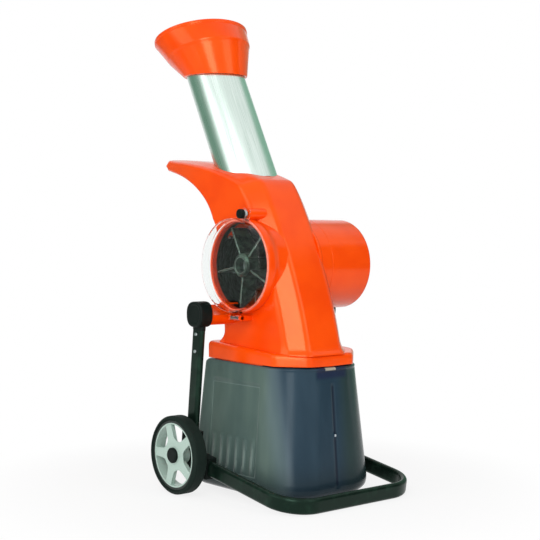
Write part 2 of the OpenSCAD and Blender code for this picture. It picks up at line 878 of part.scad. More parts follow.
module shell_screws() {
    color(steel) from_axle() for (p = lug_spots) translate([0, p[0], p[1]]) {
        rod_x(screw_d / 2, seam_x - seam_screw_l, seam_x + seam_screw_l + tiny);
        rod_x(screw_head_d / 2, seam_x + seam_screw_l, seam_x + seam_screw_l + seam_head_h);
    }
}

// Plinth and collection box

module plan(w, front, back, fr, br) {
    translate([-w / 2, -front + fr]) square([w, front - fr + back - br]);
    translate([-w / 2 + fr, -front]) square([w - 2 * fr, fr + over]);
    translate([-w / 2 + br, back - br - over]) square([w - 2 * br, br + over]);
    for (s = [-1, 1]) {
        translate([s * (w / 2 - fr), -front + fr]) circle(r = fr);
        translate([s * (w / 2 - br), back - br]) circle(r = br);
    }
}

module plinth() {
    wall = plinth_wall;
    rim_h = 3 * runner_t + 6;
    slot = plinth_w - 2 * wall;
    color(orange) difference() {
        union() {
            difference() {
                intersection() {
                    from_axle() translate([0, 0, plinth_z]) linear_extrude(80)
                        plan(plinth_w, plinth_front, plinth_back, front_r, back_r);
                    below_plinth_top(0);
                }
                intersection() {
                    from_axle() translate([0, 0, plinth_z - over]) linear_extrude(80)
                        plan(slot, plinth_front - wall, plinth_back - wall, front_r - wall, back_r - wall);
                    below_plinth_top(shell_wall);
                }
            }
            from_axle() for (s = [0, 1]) mirror([s, 0, 0])
                translate([slot / 2 - runner_w, -plinth_front + front_r, plinth_z])
                    cube([runner_w + over, plinth_front - front_r + plinth_back - back_r, runner_t]);
        }
        from_axle() translate([-slot / 2, plinth_back - back_r, plinth_z + runner_t])
            cube([slot, 60, rim_h - runner_t]);
        from_axle() translate([-slot / 2, plinth_back - back_r, plinth_z - over])
            cube([slot, 60, rim_h]);
        from_axle() translate([-port_out - 3, rotor_y - port_half - 3, plinth_z])
            cube([port_out - port_in + 6, 2 * port_half + 6, 60]);
        from_axle() for (p = foot_spots)
            translate([p[0], p[1], plinth_z]) cylinder(d = screw_d + 2 * fit_gap, h = 60);
    }
}

// Height of the plate of the plinth at a place, on its lower face
function plate_z(y) =
    plinth_z + plinth_front_h + (y + plinth_front) * tan(plinth_tilt) - shell_wall / cos(plinth_tilt);

module plinth_screws() {
    seat = screw_head_h + 0.5;
    color(steel) from_axle() for (p = foot_spots) translate([p[0], p[1], plate_z(p[1]) - seat]) {
        cylinder(d = screw_head_d, h = screw_head_h);
        cylinder(d = screw_d, h = foot_screw_l);
    }
}

function arc_points(cx, cy, r, from, n) =
    [for (i = [0 : n]) let(a = from + 90 * i / n) [cx + r * cos(a), cy + r * sin(a)]];

// Ring of the box at a height, grown outwards by grow from the plinth's outline and set back below it
function box_ring(z, grow) = let(
    set = z < plinth_z - 6 ? box_set : 0,
    hw = plinth_w / 2 + grow,
    front = plinth_front + grow - set,
    back = plinth_back + grow + set,
    fr = max(10, front_r + min(0, grow)),
    br = max(6, back_r + min(0, grow)),
    outline = concat(
        arc_points(hw - br, back - br, br, 0, 5), arc_points(-hw + br, back - br, br, 90, 5),
        arc_points(-hw + fr, -front + fr, fr, 180, 9), arc_points(hw - fr, -front + fr, fr, 270, 9)))
    [for (p = outline) [p[0], p[1], z]];

module box_outer() {
    loft([box_ring(box_foot_z, box_draft - box_round * 0.62),
        box_ring(box_foot_z + box_round * 0.2, box_draft - box_round * 0.3),
        box_ring(box_foot_z + box_round * 0.5, box_draft - box_round * 0.1),
        box_ring(box_base_z, box_draft),
        box_ring(shoulder_z, box_over),
        box_ring(shoulder_z + 8, box_over - 2),
        box_ring(shoulder_z + 13, box_over - 6),
        box_ring(plinth_z - fit_gap - 0.4, neck_grow),
        box_ring(rim_z, neck_grow),
        box_ring(rim_z, rim_grow),
        box_ring(rim_z + runner_t, rim_grow)], flat_end(len(box_ring(0, 0))));
}

module box_inner() {
    w = box_wall;
    loft([box_ring(box_foot_z + w, box_draft - box_round * 0.62 - w * 0.6),
        box_ring(box_foot_z + box_round * 0.5, box_draft - box_round * 0.1 - w),
        box_ring(box_base_z, box_draft - w),
        box_ring(shoulder_z, box_over - w),
        box_ring(shoulder_z + 5, box_over - 2 - w),
        box_ring(plinth_z - w - 1, neck_grow - w),
        box_ring(rim_z + runner_t + over, neck_grow - w)], flat_end(len(box_ring(0, 0))));
}

// Side panel of the box: a shallow field with upright ribs in its lower part
module box_panel(s) {
    tall = panel_high - panel_low;
    mid = (panel_low + panel_high) / 2;
    face = plinth_w / 2 + box_draft - (mid - box_base_z) * tan(draft_angle);
    pitch = (panel_back - panel_front) / panel_ribs;
    mirror([s < 0 ? 1 : 0, 0, 0]) translate([face, 0, mid]) rotate([0, -draft_angle, 0]) difference() {
        translate([-panel_deep, panel_front, -tall / 2]) cube([20, panel_back - panel_front, tall]);
        for (i = [0 : panel_ribs - 1])
            translate([-panel_deep - over, panel_front + (i + 0.35) * pitch, -tall / 2])
                cube([panel_deep + over, pitch * 0.3, tall * 0.42]);
    }
}

// Places on the sloped front face of the box, with Z along it from its foot
module on_box_front() {
    from_axle() translate([0, box_set - plinth_front - box_draft, box_base_z])
        rotate([-draft_angle, 0, 0]) children();
}

module collection_box() {
    groove = 5;
    groove_deep = 3;
    grip_w = 90;
    grip_h = 42;
    grip_deep = 2.4;
    front_l = box_rise / cos(draft_angle);
    color(smoke, 0.7) difference() {
        from_axle() difference() {
            box_outer();
            box_inner();
            for (s = [-1, 1]) box_panel(s);
        }
        on_box_front() translate([0, groove_deep - groove, 0]) cylinder(r = groove, h = front_l - grip_h);
        on_box_front() translate([-grip_w / 2, grip_deep - 24, front_l - grip_h])
            cube([grip_w, 24, grip_h + 12]);
    }
}

// Chute and hopper

module chute_tube() {
    l = chute_end - chute_start;
    color(silver) along_chute() translate([0, 0, chute_start]) difference() {
        cylinder(r = chute_r, h = l);
        translate([0, 0, -over]) cylinder(r = chute_r - chute_wall, h = l + 2 * over);
    }
}

// Oval ring of the hopper around [y, z], tilted to the back
function hopper_ring(at, w, depth, tilt) = [for (i = [0 : hopper_points - 1])
    let(a = 360 * i / hopper_points, d = depth / 2 * sin(a))
    [w / 2 * cos(a) - head_shift, at[0] + d * cos(tilt), at[1] - d * sin(tilt)]];

function on_chute(along) = [chute_y + along * sin(chute_lean), rotor_z + along * cos(chute_lean)];

module hopper() {
    collar_at = on_chute((collar_z - rotor_z) / cos(chute_lean));
    thick = 2 * hopper_wall;
    throat = chute_d - 2 * chute_wall - 2 * seat_lip;
    color(orange) difference() {
        from_axle() loft([hopper_ring(collar_at, collar_w, collar_depth, 0),
            hopper_ring(crease_at - 6 * mouth_up, crease_w - 7, crease_depth - 7, hopper_tilt),
            hopper_ring(crease_at, crease_w, crease_depth, hopper_tilt),
            hopper_ring(mouth_at - rim_band * mouth_up, mouth_w - 3, mouth_depth - 3, hopper_tilt),
            hopper_ring(mouth_at - 2 * mouth_up, mouth_w, mouth_depth, hopper_tilt),
            hopper_ring(mouth_at, mouth_w - 3, mouth_depth - 3, hopper_tilt)], flat_end(hopper_points));
        from_axle() loft([hopper_ring(on_chute(chute_end - over), throat, throat, chute_lean),
            hopper_ring(crease_at + 3 * mouth_up, crease_w - thick, crease_depth - thick, hopper_tilt),
            hopper_ring(mouth_at - rim_band * mouth_up, mouth_w - thick - 3, mouth_depth - thick - 3,
                hopper_tilt),
            hopper_ring(mouth_at + over * mouth_up, mouth_w - thick, mouth_depth - thick, hopper_tilt)],
            flat_end(hopper_points));
        along_chute() rotate([0, 0, 50]) translate([0, 0, chute_start])
            cylinder(r = chute_r + fit_gap, h = chute_end - chute_start);
    }
}

// Path of the cuttings

module casing_port() {
    translate([-port_out, -port_half, 0]) cube([port_out - port_in, 2 * port_half, 130]);
}

module impeller_casing() {
    color(steel) difference() {
        at_rotor() mirror([1, 0, 0]) turned_x([[shaft_d / 2 + 6, casing_in], [casing_out_r, casing_in],
            [casing_out_r, casing_face], [casing_r, casing_face], [casing_r, casing_in + casing_wall],
            [shaft_d / 2 + 6, casing_in + casing_wall]]);
        along_chute() casing_port();
        at_rotor() mirror([0, 0, 1]) casing_port();
    }
}

module duct_skin(r, half, from, to) {
    hull() {
        translate([-port_out + fit_gap + port_half - half, -half, 70])
            cube([port_out - port_in - 2 * fit_gap - 2 * (port_half - half), 2 * half, 40]);
        translate([0, 0, from]) cylinder(r = r, h = to - from, $fn = few);
    }
}

module infeed_duct() {
    wall = 2.5;
    r = chute_r - chute_wall - fit_gap;
    color(dark_steel) difference() {
        along_chute() difference() {
            union() {
                duct_skin(r - 1, port_half - fit_gap, chute_start - 20, chute_start - 6);
                translate([0, 0, chute_start - 8]) cylinder(r = r, h = 20);
            }
            duct_skin(r - 1 - wall, port_half - fit_gap - wall, chute_start - 20, chute_start - 5.5);
            translate([0, 0, chute_start - 9]) cylinder(r = r - 1 - wall, h = 40);
        }
        at_rotor() rod_x(casing_out_r + fit_gap, -casing_face - over, casing_in);
    }
}

module discharge_duct() {
    wall = 2.5;
    w = port_out - port_in - 2 * fit_gap;
    depth = 2 * port_half - 2 * fit_gap;
    foot = plinth_z + 12;
    color(dark_steel) difference() {
        from_axle() translate([-port_out + fit_gap, rotor_y - depth / 2, foot])
            cube([w, depth, rotor_z - foot]);
        from_axle() translate([-port_out + fit_gap + wall, rotor_y - depth / 2 + wall, foot - over])
            cube([w - 2 * wall, depth - 2 * wall, rotor_z]);
        at_rotor() rod_x(casing_out_r + fit_gap, -casing_face - over, casing_in);
        at_rotor() translate([-big / 2, -big / 2, 0]) cube([big, big, big]);
    }
}

module shear_plate() {
    plate = 6;
    color(steel) intersection() {
        along_chute() translate([-port_out + 4, port_half - plate, 0])
            cube([port_out - port_in - 8, plate - fit_gap, 110]);
        at_rotor() difference() {
            rod_x(casing_out_r, -casing_face, 0);
            rod_x((casing_r + impeller_d / 2) / 2, -casing_face - over, over);
        }
    }
}

// Motor

module motor_housing() {
    flange = 10;
    inner = motor_r - motor_wall;
    face = side_right + motor_flange_t;
    color(orange) at_rotor() difference() {
        union() {
            turned_x([[motor_r - motor_wall, side_right], [motor_r, side_right], [motor_r, motor_end],
                [motor_r - motor_wall, motor_end]]);
            turned_x([[inner - flange, side_right], [inner + tiny, side_right], [inner + tiny, face],
                [inner - flange, face]]);
        }
        for (i = [0 : 3]) rotate([45 + 90 * i, 0, 0]) translate([0, 0, motor_screw_r])
            rod_x(screw_d / 2 + fit_gap, side_right - over, face + over);
    }
}

module motor_screws() {
    face = side_right + motor_flange_t;
    color(steel) at_motor_screws() {
        rod_x(screw_d / 2, side_right - shell_wall, face + tiny);
        rod_x(screw_head_d / 2 - 0.9, face, face + screw_head_h);
    }
}

module motor_end_cap() {
    edge = 6;
    slots = 18;
    color(orange) at_rotor() difference() {
        turned_x([[0, motor_end], [motor_r, motor_end], [motor_r - 1.2, motor_end + end_cap_t * 0.6],
            [motor_r - edge, motor_end + end_cap_t], [0, motor_end + end_cap_t]]);
        for (i = [0 : slots - 1]) rotate([i * 360 / slots, 0, 0])
            translate([motor_end - over, -3, motor_r * 0.38])
                cube([end_cap_t + 2 * over, 6, motor_r * 0.45]);
    }
}

module motor_bracket() {
    hub_r = bearing_d / 2 + 6;
    yoke_r = stator_d / 2 + 4;
    color(silver) at_rotor() difference() {
        union() {
            rod_x(casing_out_r, -casing_in, -casing_in + bracket_plate);
            rod_x(hub_r, -casing_in, bearing_at + bearing_w);
            difference() {
                rod_x(yoke_r, -casing_in, stator_at + stator_l * 0.6);
                rod_x(stator_d / 2 + running_gap, -casing_in + bracket_plate, motor_end);
            }
        }
        rod_x(bearing_d / 2 + running_gap, bearing_at, motor_end);
        rod_x(shaft_d / 2 + 3, -casing_in - over, motor_end);
    }
}

module ring_x(outer, inner, from, to) {
    difference() {
        rod_x(outer, from, to);
        rod_x(inner, from - over, to + over);
    }
}

module stator() {
    lip = 6;
    bore = armature_d / 2 + armature_gap;
    end = stator_at + stator_l;
    color(dark_steel) at_rotor() {
        ring_x(stator_d / 2, bore, stator_at, end);
        color("#b0692e") ring_x(stator_d / 2 - 12, bore + 4, end, end + lip);
    }
}

module bearing(from) {
    color(steel) at_rotor() {
        ring_x(bearing_d / 2, bearing_d / 2 - 4, from, from + bearing_w);
        ring_x(bearing_d / 2 - 4, shaft_d / 2 + 4, from + 2, from + bearing_w - 2);
        ring_x(shaft_d / 2 + 4, shaft_d / 2 + running_gap, from, from + bearing_w);
    }
}

module front_bearing() { bearing(bearing_at); }

module rear_bearing() { bearing(rear_bearing_at); }

module rear_carrier() {
    arms = 3;
    hub_r = bearing_d / 2 + 6;
    rim_r = motor_r - motor_wall - fit_gap;
    color(silver) at_rotor() difference() {
        union() {
            rod_x(hub_r, rear_bearing_at - 4, rear_bearing_at + bearing_w);
            ring_x(rim_r, rim_r - 6, rear_bearing_at - 4, rear_bearing_at + bearing_w);
            for (i = [0 : arms - 1]) rotate([i * 360 / arms, 0, 0])
                translate([rear_bearing_at - 4, -7, hub_r - 3]) cube([8, 14, rim_r - hub_r]);
        }
        rod_x(bearing_d / 2 + running_gap, rear_bearing_at, motor_end);
        rod_x(shaft_d / 2 + 3, rear_bearing_at - 5, motor_end);
    }
}

// Rotor

module shaft() {
    color(steel) at_rotor() rod_x(shaft_d / 2, -impeller_front + 10, shaft_end);
}

module impeller() {
    r = impeller_d / 2;
    hub_r = impeller_hub_d / 2;
    nose = 5;
    color(dark_steel) at_rotor() mirror([1, 0, 0]) difference() {
        union() {
            rod_x(r, impeller_back, impeller_back + vane_t);
            turned_x([[0, impeller_back], [hub_r, impeller_back], [hub_r, hub_nose - nose],
                [hub_r - nose, hub_nose], [0, hub_nose]]);
            intersection() {
                for (i = [0 : vane_count - 1]) rotate([i * 360 / vane_count + first_vane, 0, 0])
                    translate([impeller_back, -vane_t / 2, hub_r - 2])
                        cube([impeller_front - impeller_back, vane_t, r]);
                rod_x(r, impeller_back, impeller_front);
            }
        }
        rod_x(shaft_d / 2 + running_gap, impeller_back - over, hub_nose + over);
        rod_x(shaft_d / 2 + 8, impeller_front - nut_seat, hub_nose + over);
    }
}

module at_blade(i) {
    at_rotor() mirror([1, 0, 0]) rotate([i * 360 / vane_count + first_vane, 0, 0])
        translate([impeller_back + vane_t + 8, vane_t / 2, impeller_d / 2 - blade_l - 3]) children();
}

module cutting_blades() {
    color(silver) for (i = [0 : vane_count - 1]) at_blade(i) difference() {
        cube([blade_w, blade_t, blade_l]);
        translate([blade_w / 2, 0, blade_l / 2]) rotate([-90, 0, 0])
            translate([0, 0, -over]) cylinder(d = screw_d + 2 * running_gap, h = blade_t + 2 * over);
    }
}

module blade_screws() {
    color(steel) for (i = [0 : vane_count - 1]) at_blade(i)
        translate([blade_w / 2, 0, blade_l / 2]) rotate([-90, 0, 0]) {
            cylinder(d = screw_d, h = blade_t + tiny);
            translate([0, 0, blade_t]) cylinder(d = screw_head_d, h = screw_head_h);
        }
}

module impeller_nut() {
    color(steel) at_rotor() mirror([1, 0, 0]) difference() {
        translate([impeller_front - nut_seat, 0, 0]) rotate([0, 90, 0])
            cylinder(r = shaft_d / 2 + 6, h = 12, $fn = 6);
        rod_x(shaft_d / 2 + running_gap, 0, hub_nose);
    }
}

module armature() {
    color("#8a4f2a") at_rotor()
        ring_x(armature_d / 2, shaft_d / 2 + running_gap, stator_at + 1, stator_at + stator_l - 1);
}

module cooling_fan() {
    blades = 9;
    hub_r = shaft_d / 2 + 9;
    color(black) at_rotor() difference() {
        union() {
            rod_x(hub_r, fan_at, fan_at + fan_l);
            rod_x(fan_d / 2, fan_at, fan_at + 2.5);
            for (i = [0 : blades - 1]) rotate([i * 360 / blades, 0, 0])
                translate([fan_at, -1.2, hub_r - 2]) cube([fan_l, 2.4, fan_d / 2 - hub_r]);
        }
        rod_x(shaft_d / 2 + running_gap, fan_at - over, fan_at + fan_l + over);
    }
}

// Window cover

module window_gasket() {
    edge = 3;
    color(rubber) at_rotor() mirror([1, 0, 0])
        ring_x(drum_d / 2 - edge, casing_out_r + 1, drum_face, gasket_face);
}

module hinge_pin() {
    l = hinge_w + 2 * ear_w + 2 * fit_gap;
    color(steel) from_axle() translate([-hinge_x, rotor_y + l / 2, hinge_z]) rotate([90, 0, 0])
        cylinder(d = hinge_pin_d, h = l);
}

module window_cover() {
    r = cover_d / 2;
    round_r = 7;
    top = cover_face + cover_depth;
    w = cover_wall;
    color(clear, 0.35) difference() {
        union() {
            at_rotor() mirror([1, 0, 0]) turned_x([[r - w, cover_face], [drum_d / 2, cover_face],
                [drum_d / 2, cover_face + flange_t], [r, cover_face + flange_t], [r, top - round_r],
                [r - round_r * 0.3, top - round_r * 0.3], [r - round_r, top], [0, top], [0, top - w],
                [r - round_r - w * 0.5, top - w], [r - w, top - round_r - w * 0.5]]);
            at_rotor() rotate([knob_turn, 0, 0]) translate([-cover_face - tab_t, -knob_boss_r, r + 0.5])
                cube([tab_t, 2 * knob_boss_r, knob_out - r + knob_boss_r - 2]);
            from_axle() translate([-hinge_x, rotor_y + hinge_w / 2, hinge_z]) rotate([90, 0, 0])
                cylinder(r = barrel_r, h = hinge_w);
            from_axle() translate([-cover_face - flange_t - 3, rotor_y - hinge_w / 2, hinge_z])
                cube([flange_t + 3, hinge_w, 18]);
        }
        from_axle() translate([-hinge_x, rotor_y + hinge_w, hinge_z]) rotate([90, 0, 0])
            cylinder(r = hinge_pin_d / 2 + running_gap, h = 2 * hinge_w);
        knob_rod(shank_d / 2 + running_gap, side_left, drum_face + 40);
    }
}

module cover_knob() {
    grips = 12;
    r = knob_d / 2;
    color(black) difference() {
        union() {
            knob_rod(r, knob_face, knob_face + knob_l);
            knob_rod(shank_d / 2, cover_face - shank_l, knob_face + tiny);
        }
        for (i = [0 : grips - 1]) from_axle() translate([0, knob_y, knob_z]) rotate([i * 360 / grips, 0, 0])
            translate([0, 0, r + 0.6]) mirror([1, 0, 0])
                rod_x(1.6, knob_face + 8, knob_face + knob_l + over);
    }
}

module interlock_switch() {
    body = [12, 9, 10];
    back = 5;
    color(black) from_axle()
        translate([fit_gap - knob_boss_in, knob_y - body[1] / 2 + back, knob_z]) cube(body);
}

// Switch unit, buttons and mains inlet, on the motor side

module switch_unit() {
    inner_w = switch_w - 2 * plate_edge;
    inner_h = switch_h - 2 * plate_edge;
    color(black) from_axle() translate([side_right, switch_y, switch_z]) difference() {
        union() {
            translate([0, -switch_w / 2, -switch_h / 2]) cube([4, switch_w, switch_h]);
            translate([-switch_deep, -inner_w / 2, -inner_h / 2])
                cube([switch_deep + switch_proud, inner_w, inner_h]);
        }
        for (y = button_y) translate([0, y, 0])
            rod_x(button_d / 2 + fit_gap, switch_proud - button_deep, switch_proud + over);
    }
}

module button(y) {
    back = button_deep - button_travel - fit_gap;
    top = switch_proud + 5;
    edge = 1.2;
    from_axle() translate([side_right, switch_y + y, switch_z])
        turned_x([[0, switch_proud - back], [button_d / 2, switch_proud - back],
            [button_d / 2, top - edge], [button_d / 2 - edge, top], [0, top]]);
}

module start_button() { color("#2e8b45") button(button_y[1]); }

module stop_button() { color("#c32a22") button(button_y[0]); }

module mains_inlet() {
    inner_w = inlet_w - 2 * plate_edge;
    inner_h = inlet_h - 2 * plate_edge;
    lip = 2;
    pins = 3;
    color(black) from_axle() translate([side_right, inlet_y, inlet_z]) {
        difference() {
            union() {
                translate([0, -inlet_w / 2, -inlet_h / 2]) cube([3, inlet_w, inlet_h]);
                translate([-20, -inner_w / 2, -inner_h / 2]) cube([21, inner_w, inner_h]);
            }
            translate([-14, -inner_w / 2 + lip, -inner_h / 2 + lip])
                cube([20, inner_w - 2 * lip, inner_h - 2 * lip]);
        }
        for (i = [0 : pins - 1]) translate([-15, (i - 1) * 8 - 1, -2]) cube([12, 2, 4]);
    }
}

base_bar();
left_axle_bracket();
right_axle_bracket();
left_upright();
right_upright();
left_knuckle();
right_knuckle();
left_axle();
right_axle();
axle_retainers();
upright_screws();
knuckle_bolts();
left_tyre();
left_rim();
left_bush();
left_hub_cap();
right_tyre();
right_rim();
right_bush();
right_hub_cap();
body_shell();
side_cover();
shell_screws();
plinth();
plinth_screws();
chute_tube();
hopper();
infeed_duct();
impeller_casing();
discharge_duct();
shear_plate();
motor_housing();
motor_end_cap();
motor_bracket();
motor_screws();
stator();
front_bearing();
rear_bearing();
rear_carrier();
shaft();
impeller();
cutting_blades();
blade_screws();
impeller_nut();
armature();
cooling_fan();
window_gasket();
hinge_pin();
window_cover();
cover_knob();
interlock_switch();
switch_unit();
start_button();
stop_button();
mains_inlet();
collection_box();
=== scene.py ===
"""Looks of a garden shredder on a two-wheeled stand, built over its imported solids.

Shapes are worked out in millimetres, from the wheel axle and the floor, and then put into the frame.
"""
import json
import math

import bmesh
import bpy
import numpy as np
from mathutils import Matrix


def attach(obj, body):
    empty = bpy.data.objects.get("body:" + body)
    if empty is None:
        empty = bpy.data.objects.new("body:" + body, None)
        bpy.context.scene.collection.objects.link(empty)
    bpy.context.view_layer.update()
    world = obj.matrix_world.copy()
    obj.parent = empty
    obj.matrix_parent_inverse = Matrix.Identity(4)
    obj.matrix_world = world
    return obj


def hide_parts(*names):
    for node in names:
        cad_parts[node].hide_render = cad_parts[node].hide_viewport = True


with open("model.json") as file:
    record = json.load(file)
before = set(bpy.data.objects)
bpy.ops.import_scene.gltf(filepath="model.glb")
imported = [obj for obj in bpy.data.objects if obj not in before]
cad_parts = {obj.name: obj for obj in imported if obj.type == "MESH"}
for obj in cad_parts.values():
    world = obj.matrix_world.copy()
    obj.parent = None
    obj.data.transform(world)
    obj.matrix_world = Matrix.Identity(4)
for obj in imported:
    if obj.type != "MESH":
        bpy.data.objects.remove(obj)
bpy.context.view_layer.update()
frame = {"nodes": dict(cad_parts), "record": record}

X, Y, Z = np.eye(3)
NO_POINT = np.zeros(3)
MM = 0.001
SIDES = ((-1, "left"), (1, "right"))
WHITE_LIGHT = (1, 1, 1, 1)
GREEN_CAST = (0.55, 1, 0.75, 1)


def turn(degrees):
    """An angle in radians."""
    return math.radians(degrees)


def about_x(angle):
    """Matrix of a turn about X: y and z mixed by the cosine and the sine of the angle."""
    c, s = math.cos(angle), math.sin(angle)
    return np.array([[1, 0, 0], [0, c, -s], [0, s, c]])


# Sizes of the machine, in millimetres from the wheel axle and the floor

# The axle lies this far behind the middle of the footprint, where the frame has its origin.
AXLE_Y = 25.4422
WHEEL_R = 90.0
AXLE = WHEEL_R * Z

TUBE_H, TUBE_T, TUBE_X = 36.0, 16.0, 190.0
BAR_REACH, BAR_DROP, BAR_BEND, ARM_GAP = 354.0, 58.0, 75.0, 50.0
ARM_ANGLE = math.atan(BAR_DROP / BAR_REACH)
ARM_L = (BAR_REACH - ARM_GAP) / math.cos(ARM_ANGLE)
BAR_Z = (TUBE_H - TUBE_T) / 2 * math.cos(ARM_ANGLE) + TUBE_T / 2

KNUCKLE = np.array([0, -35.0, 413.0])
KNUCKLE_IN, KNUCKLE_OUT, KNUCKLE_R, NECK_R = 176.0, 209.0, 29.5, 26.0
LEAN = math.atan(-KNUCKLE[1] / (KNUCKLE[2] - WHEEL_R))
UPRIGHT_L = math.hypot(KNUCKLE[1], KNUCKLE[2] - WHEEL_R)
UPRIGHT_WAY, UPRIGHT_ACROSS = about_x(LEAN) @ Z, about_x(LEAN) @ Y
# Along an upright, from the axle: its two ends, and the end of the sleeve over it
UPRIGHT_FOOT, UPRIGHT_TOP, SLEEVE_TOP = 29.0, UPRIGHT_L - 36, UPRIGHT_L - 15

HEAD_X, SEAM_X = -13.5, 40.0
ROTOR = np.array([0, -92.0, 525.0])
DRUM_BORE_R, DUCT_R, FIT, THROUGH = 102.3, 44.0, 0.3, 140.0
MOTOR_R, MOTOR_START, MOTOR_END, MOTOR_WALL = 107.0, 73.0, 192.0, 4.0

CHUTE = np.array([HEAD_X, -97.0, 525.0])
CHUTE_LEAN = turn(27)
CHUTE_WAY = about_x(-CHUTE_LEAN) @ Z
CHUTE_R, CHUTE_WALL, CHUTE_START, CHUTE_END = 68.5, 2.5, 200.0, 568.0

DRUM_FACE, GASKET_FACE, COVER_FACE, COVER_DEPTH = 123.0, 124.0, 124.3, 27.0
KNOB_LEAN, KNOB_ARM = turn(15), 121.0
KNOB = ROTOR + KNOB_ARM * (about_x(KNOB_LEAN) @ Z)
HINGE = np.array([-130.8, ROTOR[1], 405.0])
HINGE_R, HINGE_HALF = 6.0, 15.5

PLINTH_Z, PLINTH_W, PLINTH_FRONT, PLINTH_BACK = 300.0, 248.0, 273.0, 32.0
PLINTH_LOW, PLINTH_HIGH, PLINTH_WALL = 27.0, 46.0, 6.0
PLINTH_TILT = math.atan((PLINTH_HIGH - PLINTH_LOW) / (PLINTH_FRONT + PLINTH_BACK))
BACK_R, FRONT_R = 18.0, 100.0
MIDDLE_Y = -120.0

BOX_LOW, BOX_FLOOR = 8, 12
# Sunk field with ribs on each side of the box
FIELD_Y, FIELD_Z, RIB_PITCH = (-176, -6), (52, 253), 28.0


def plinth_top(y):
    """Height of the sloped top of the plinth."""
    return PLINTH_Z + PLINTH_LOW + (y + PLINTH_FRONT) * math.tan(PLINTH_TILT)


def placed(name, data):
    """A new object in the scene."""
    made = bpy.data.objects.new(name, data)
    bpy.context.scene.collection.objects.link(made)
    return made


# Nodes of paints and of the world

class Wire:
    """A socket of a node. Sums, differences, products and quotients of wires add Math nodes."""

    def __init__(self, tree, socket):
        self.tree, self.socket = tree, socket

    def math(self, kind, *values):
        """A Math node of any kind."""
        return self.tree.node("ShaderNodeMath", {"operation": kind}, dict(enumerate(values)))

    def __add__(self, other):
        return self.math("ADD", self, other)

    def __radd__(self, other):
        return self.math("ADD", other, self)

    def __sub__(self, other):
        return self.math("SUBTRACT", self, other)

    def __rsub__(self, other):
        return self.math("SUBTRACT", other, self)

    def __mul__(self, other):
        return self.math("MULTIPLY", self, other)

    def __rmul__(self, other):
        return self.math("MULTIPLY", other, self)

    def __truediv__(self, other):
        return self.math("DIVIDE", self, other)

    def __abs__(self):
        return self.math("ABSOLUTE", self)

    def root(self):
        """Square root."""
        return self.math("SQRT", self)

    def fraction(self):
        """What is left past the whole number."""
        return self.math("FRACT", self)

    def most(self, other):
        """The larger of the two."""
        return self.math("MAXIMUM", self, other)

    def between(self, low, high):
        """0 below low, 1 above high, and a smooth step between."""
        return self.tree.node("ShaderNodeMapRange", {"interpolation_type": "SMOOTHSTEP"},
                              {"Value": self, "From Min": low, "From Max": high})

    def below(self, high, fade):
        """0 above high, and 1 from the fade length under it."""
        return 1 - self.between(high - fade, high)

    def inside(self, low, high, rise, fall):
        """0 outside low and high, and 1 from the rise length over low to the fall length under high."""
        return self.between(low, low + rise) * self.below(high, fall)

    def near(self, place, reach, fade):
        """1 within reach of a place, falling to 0 over the fade length."""
        return 1 - abs(self - place).between(reach, reach + fade)


class Tree:
    """The nodes of a paint or of the world."""

    def __init__(self, owner, out):
        owner.use_nodes = True
        self.tree = owner.node_tree
        self.tree.nodes.clear()
        self.out = self.tree.nodes.new(out)

    def feed(self, node, sockets):
        """Sets the sockets of a node to values, or links them."""
        for key, value in sockets.items():
            if isinstance(value, Wire):
                self.tree.links.new(value.socket, node.inputs[key])
            else:
                node.inputs[key].default_value = value

    def node(self, kind, settings, sockets, out=0):
        """Any node from its type, its settings, and the values or links of its sockets."""
        made = self.tree.nodes.new(kind)
        for key, value in settings.items():
            setattr(made, key, value)
        self.feed(made, sockets)
        return Wire(self, made.outputs[out])

    def show(self, shader):
        """Puts a shader on the surface."""
        self.feed(self.out, {"Surface": shader})

    def seen(self):
        """1 for what the camera sees, also in reflections and through glass, and 0 for other light."""
        camera, glossy, clear = (self.node("ShaderNodeLightPath", {}, {}, f"Is {kind} Ray")
                                 for kind in ("Camera", "Glossy", "Transmission"))
        return camera.most(glossy).most(clear)

    def glow(self, colour, strength):
        """A shader that gives off light."""
        return self.node("ShaderNodeEmission", {}, {"Color": colour, "Strength": strength})


